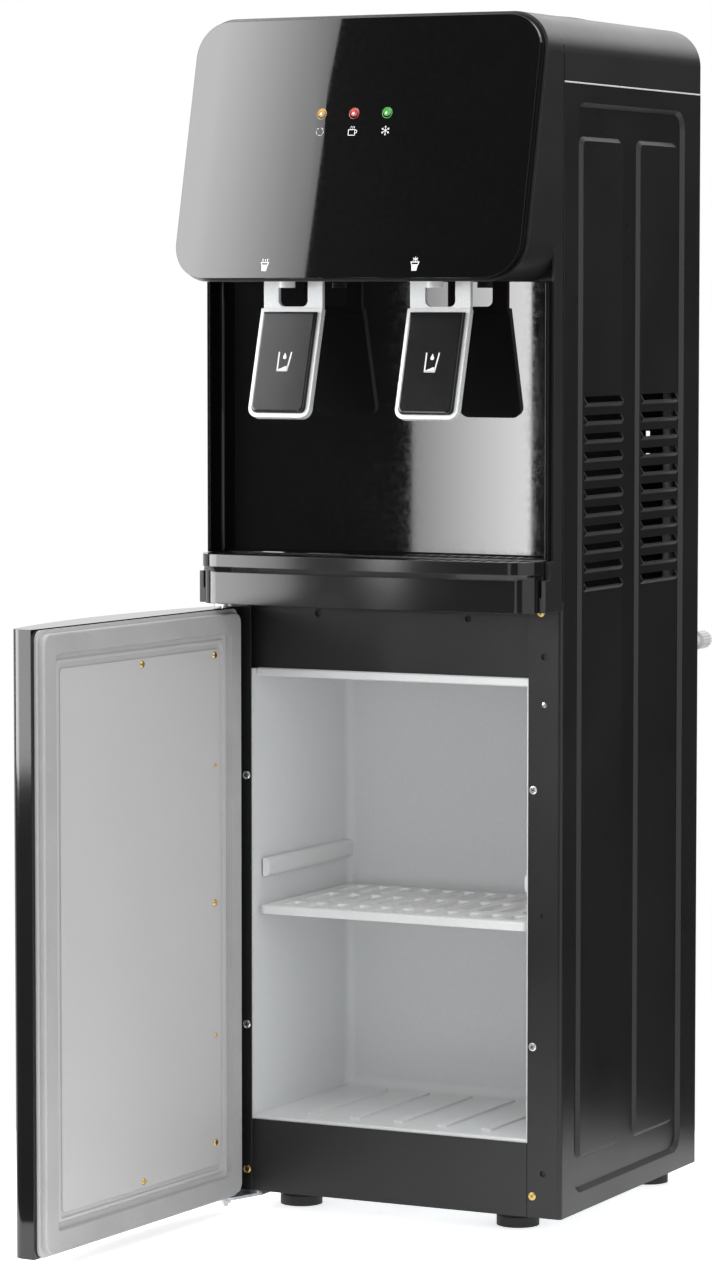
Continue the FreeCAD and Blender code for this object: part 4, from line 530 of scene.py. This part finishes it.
EDGE_HEIGHTS = (922.5, 923.2, 924.3)
EDGE_WIDTHS = (154.5, 155.5)
EDGE_ENDS = (0.6, 281.0)
DUST_PAD_DEPTHS = (276.6, 280.4)
DUST_PADS = (((-142, 96), (504, 700)), ((96, 142), (504, 590)), ((96, 142), (597, 612)),
             ((96, 142), (621, 630)), ((96, 142), (640, 700)))
JOINT_LIFT = 0.06
JOINT_DEPTHS = (-0.75, 0.35)
JOINT_CAST_DEPTH = -0.6


def panel_edge_highlight(name, side):
    """Edge of a side panel under the top cover, in pale tap plastic: a painted highlight along the panel's
    top edge.
    """
    low, middle, high = EDGE_HEIGHTS
    near, far = (side * x for x in EDGE_WIDTHS)
    spots = [lambda u, v, y=y: (u, y, v) for y in EDGE_ENDS]
    swept(name, [(near, high), (far, middle), (far, low), (near, low)], spots, LOOKS["white_tap"])


def head_joint():
    """Dark joint between the head casing and the sheets behind it, laid on the casing's outline."""
    casts = [((200, z), (-1, 0)) for z in range(512, 948, 12)]
    casts += [((130 + 100 * u, 950 + 100 * v), (-u, -v)) for u, v in arc(1, 0, 90, 16)]
    casts += [((x, 1100), (0, -1)) for x in range(118, -1, -10)]
    right = []
    for (x, z), (du, dv) in casts:
        hit, place = met(nodes["head_casing"], (x, JOINT_CAST_DEPTH, z), (du, 0, dv))
        if hit:
            right.append((place.x - du * JOINT_LIFT, place.z - dv * JOINT_LIFT))
    line = right + [(-x, z) for x, z in reversed(right)]
    points = [(x, y, z) for x, z in line for y in JOINT_DEPTHS]
    polygons = [(k, k + 1, k + 3, k + 2) for k in range(0, len(points) - 2, 2)]
    add_piece("head_joint", points, polygons, LOOKS["gloss_black"])


# ---- the pieces --------------------------------------------------------------------------

SIGN_ROW = 884.5
TAP_SIGN_ROW = 778.6
TAP_SIGN_X = 66.3

for name, faces, x, z in (("print_power", power_ring(), INDICATORS["amber"], SIGN_ROW),
                          ("print_heating", mug(), INDICATORS["red"], SIGN_ROW),
                          ("print_cooling", snowflake(), INDICATORS["green"], SIGN_ROW),
                          ("print_hot_tap", hot_cup(), -TAP_SIGN_X, TAP_SIGN_ROW),
                          ("print_cold_tap", cold_cup(), TAP_SIGN_X, TAP_SIGN_ROW)):
    printed(name, nodes["front_fascia"], faces, x, z)

for side, middle in (("left", -PADDLE_MIDDLE), ("right", PADDLE_MIDDLE)):
    cap = pad_cap(side, middle)
    printed("print_pad_" + side, cap, glass(), middle + GLASS_PLACE[0], GLASS_PLACE[1], "lever_" + side)

# rounded lip that the liner shows under the crossbeam
block("liner_lip", (-123.4, 6.2, 442.6), (123.4, 10.4, 449.6), LOOKS["white_liner"], 1.6)

# pale strips on the side panels' top edges: painted highlight
panel_edge_highlight("panel_edge_left", -1)
panel_edge_highlight("panel_edge_right", 1)

# dust pads behind the rear vents, with a few gaps near their right edge
for k, (across, heights) in enumerate(DUST_PADS):
    low, high = zip(across, DUST_PAD_DEPTHS, heights)
    block(f"dust_pad_{k + 1}", low, high, LOOKS["black_foot"], 0.6)

head_joint()

for tone, middle in INDICATORS.items():
    lens_ring(tone, middle)
    # white disc on each lens, left of its middle: painted highlight, the lens glint
    printed("lens_painted_glint_" + tone, nodes["indicator_" + tone], [circle(GLINT_RADIUS, 12)],
            middle + GLINT_SHIFT, INDICATOR_HEIGHT, lift=GLINT_LIFT)

jamb_button()

# dark blocks behind the holes in the jambs and in the crossbeam: painted shade inside the holes
for k, z in enumerate(HOLE_HEIGHTS):
    for side, x in (("left", -HOLE_LINE), ("right", HOLE_LINE)):
        block(f"hole_shade_{side}_{k + 1}", (x - SHADE_HALF, SHADE_DEPTHS[0], z - SHADE_HALF),
              (x + SHADE_HALF, SHADE_DEPTHS[1], z + SHADE_HALF), LOOKS["black_foot"])
block("beam_shade", (-112, 10.4, 490.5), (112, 11.0, 499.2), LOOKS["black_foot"])

for plating in ("silver", "brass"):
    screws = nodes["screws_" + plating]
    for k, (x, z) in enumerate(screw_middles(screws)):
        recess_painted_shade(f"recess_{plating}_{k + 1}", screws, x, z, RECESS_TILT + RECESS_TURN * k)


# ---- studio (metres) ---------------------------------------------------------------------

WORLD_LEVEL = 0.7       # light on the object
FLOOR_LIFT = 0.6        # glow that brings the floor to white where it is seen
FLAG_DISTANCE = 4.2
FLAG_LOW = -1.6
FLOOR_RADIUS = 0.52
FLOOR_MIDDLE = -0.02
FLOOR_LEVEL = -0.0002
TOP_LEVEL = 3.1
TOP_CORNERS = ((-1.3, -1.9), (1.3, -1.9), (1.3, 0.9), (-1.3, 0.9))


def stage_sheet(name, corners, material, seen=False):
    """Flat sheet of the studio, with its own texture square where it has four corners."""
    mesh = bpy.data.meshes.new(name)
    mesh.from_pydata([Vector(c) for c in corners], [], [tuple(range(len(corners)))])
    if len(corners) == 4:
        layer = mesh.uv_layers.new(name="square")
        for loop, place in zip(layer.data, ((0, 0), (1, 0), (1, 1), (0, 1))):
            loop.uv = place
    mesh.materials.append(material)
    sheet = bpy.data.objects.new(name, mesh)
    bpy.context.scene.collection.objects.link(sheet)
    sheet.visible_camera = seen
    return sheet


def glowing(name, near, far, reach=1.0, plain=1.0):
    """Diffuser cloth lit from behind.

    Its strength goes from near, at its first edge, to far at a share of its width. Dull surfaces
    get the plain share of what gloss mirrors.
    """
    material = bpy.data.materials.new(name)
    material.use_nodes = True
    tree = material.node_tree
    tree.nodes.remove(tree.nodes["Principled BSDF"])
    place = tree.nodes.new("ShaderNodeTexCoord")
    apart = tree.nodes.new("ShaderNodeSeparateXYZ")
    path = tree.nodes.new("ShaderNodeLightPath")
    glow = tree.nodes.new("ShaderNodeEmission")
    tree.links.new(place.outputs["UV"], apart.inputs["Vector"])
    graded = spread(tree, apart.outputs["X"], near, far, 0, reach)
    shared = spread(tree, path.outputs["Is Diffuse Ray"], 1.0, plain, 0.0, 1.0)
    tree.links.new(calculated(tree, "MULTIPLY", graded, shared), glow.inputs["Strength"])
    tree.links.new(glow.outputs["Emission"], tree.nodes["Material Output"].inputs["Surface"])
    return material


def upright(name, bearings, heights, distance, material):
    """Upright sheet between two bearings, in degrees left of straight ahead, and two heights."""
    turns = [math.radians(bearing) for bearing in bearings]
    first, last = [(-distance * math.sin(turn), -distance * math.cos(turn)) for turn in turns]
    low, high = heights
    corners = [(*first, low), (*last, low), (*last, high), (*first, high)]
    return stage_sheet(name, corners, material)


def softbox(name, bearings, heights, distance, **glow):
    """Upright diffuser, lit as its cloth is told."""
    upright(name, bearings, heights, distance, glowing(name + "_cloth", **glow))


def flags(name, start, width, count, top):
    """Row of black cloths that gloss mirrors and that take no light from the object."""
    for k in range(count):
        begin = start - width * k
        bearings, heights = (begin, begin - width), (FLAG_LOW, top)
        sheet = upright(f"{name}_{k + 1}", bearings, heights, FLAG_DISTANCE, FLAG_CLOTH)
        sheet.visible_diffuse = False
        sheet.visible_shadow = False


def background_ray(tree):
    """One for the rays that show the background: seen directly, mirrored, or through glass."""
    path = tree.nodes.new("ShaderNodeLightPath")
    seen = path.outputs["Is Camera Ray"]
    for kind in ("Is Glossy Ray", "Is Transmission Ray"):
        seen = calculated(tree, "MAXIMUM", seen, path.outputs[kind])
    return seen


def floor():
    """Pale disc that shows white and keeps the object's shadow."""
    material, tree, shader = new_material("studio_floor")
    tone = blend(tree, spread(tree, noise(tree, 3), 0, 1), (0.9, 0.9, 0.9), (0.93, 0.93, 0.93))
    lift = spread(tree, background_ray(tree), 0.0, FLOOR_LIFT, 0.0, 1.0)
    tree.links.new(tone, shader.inputs["Base Color"])
    tree.links.new(spread(tree, noise(tree, 40), 0.6, 0.7), shader.inputs["Roughness"])
    tree.links.new(lift, shader.inputs["Emission Strength"])
    shader.inputs["Emission Color"].default_value = WHITE
    shader.inputs["Specular IOR Level"].default_value = 0.1
    rim = [(u + FLOOR_MIDDLE, v + FLOOR_MIDDLE, FLOOR_LEVEL) for u, v in circle(FLOOR_RADIUS, 60)]
    stage_sheet("floor", rim, material, seen=True)


def surroundings():
    """White world where it is seen, at a plain level where it lights the object."""
    world = bpy.data.worlds.new("studio")
    world.use_nodes = True
    tree = world.node_tree
    background = tree.nodes["Background"]
    level = spread(tree, background_ray(tree), WORLD_LEVEL, 1.0, 0.0, 1.0)
    tree.links.new(level, background.inputs["Strength"])
    background.inputs["Color"].default_value = WHITE
    bpy.context.scene.world = world


flags("flag_front", start=84, width=17, count=7, top=3.4)
flags("flag_side", start=-100, width=15, count=5, top=1.8)
softbox("studio_left", (32.0, 72.0), (0.1, 2.9), 3.2, near=3.6, far=11.5, reach=0.3, plain=0.6)
softbox("studio_strip", (22.4, 25.6), (0.365, 0.9), 3.2, near=17.0, far=5.5, plain=0.5)
softbox("studio_front", (2.0, -9.0), (0.1, 0.75), 3.2, near=1.2, far=1.2)
softbox("studio_back", (163.0, 200.0), (1.85, 2.55), 3.3, near=2.0, far=2.0, plain=0.3)
softbox("studio_right", (-42.0, -80.0), (0.4, 2.2), 3.4, near=1.6, far=1.6)
stage_sheet("studio_top", [(x, y, TOP_LEVEL) for x, y in TOP_CORNERS],
            glowing("studio_top_cloth", near=3.4, far=3.4, plain=0.4))
floor()
surroundings()


# ---- camera ------------------------------------------------------------------------------

PICTURE_HEIGHT = 1282       # pixels of the photograph
FOCAL_PIXELS = 4603.08
SENSOR_HEIGHT = 36.0
CAMERA_PLACE = (1.64651, -3.33266, 0.75534)
CAMERA_DOWN = 4.3
CAMERA_LEFT = 26.68

lens_data = bpy.data.cameras.new("camera")
lens_data.sensor_fit = "VERTICAL"
lens_data.sensor_height = SENSOR_HEIGHT
lens_data.lens = FOCAL_PIXELS / PICTURE_HEIGHT * SENSOR_HEIGHT
camera = bpy.data.objects.new("camera", lens_data)
camera.location = CAMERA_PLACE
camera.rotation_euler = (math.radians(90 - CAMERA_DOWN), 0, math.radians(CAMERA_LEFT))
bpy.context.scene.collection.objects.link(camera)
bpy.context.scene.camera = camera
bpy.context.scene.view_settings.view_transform = "Standard"
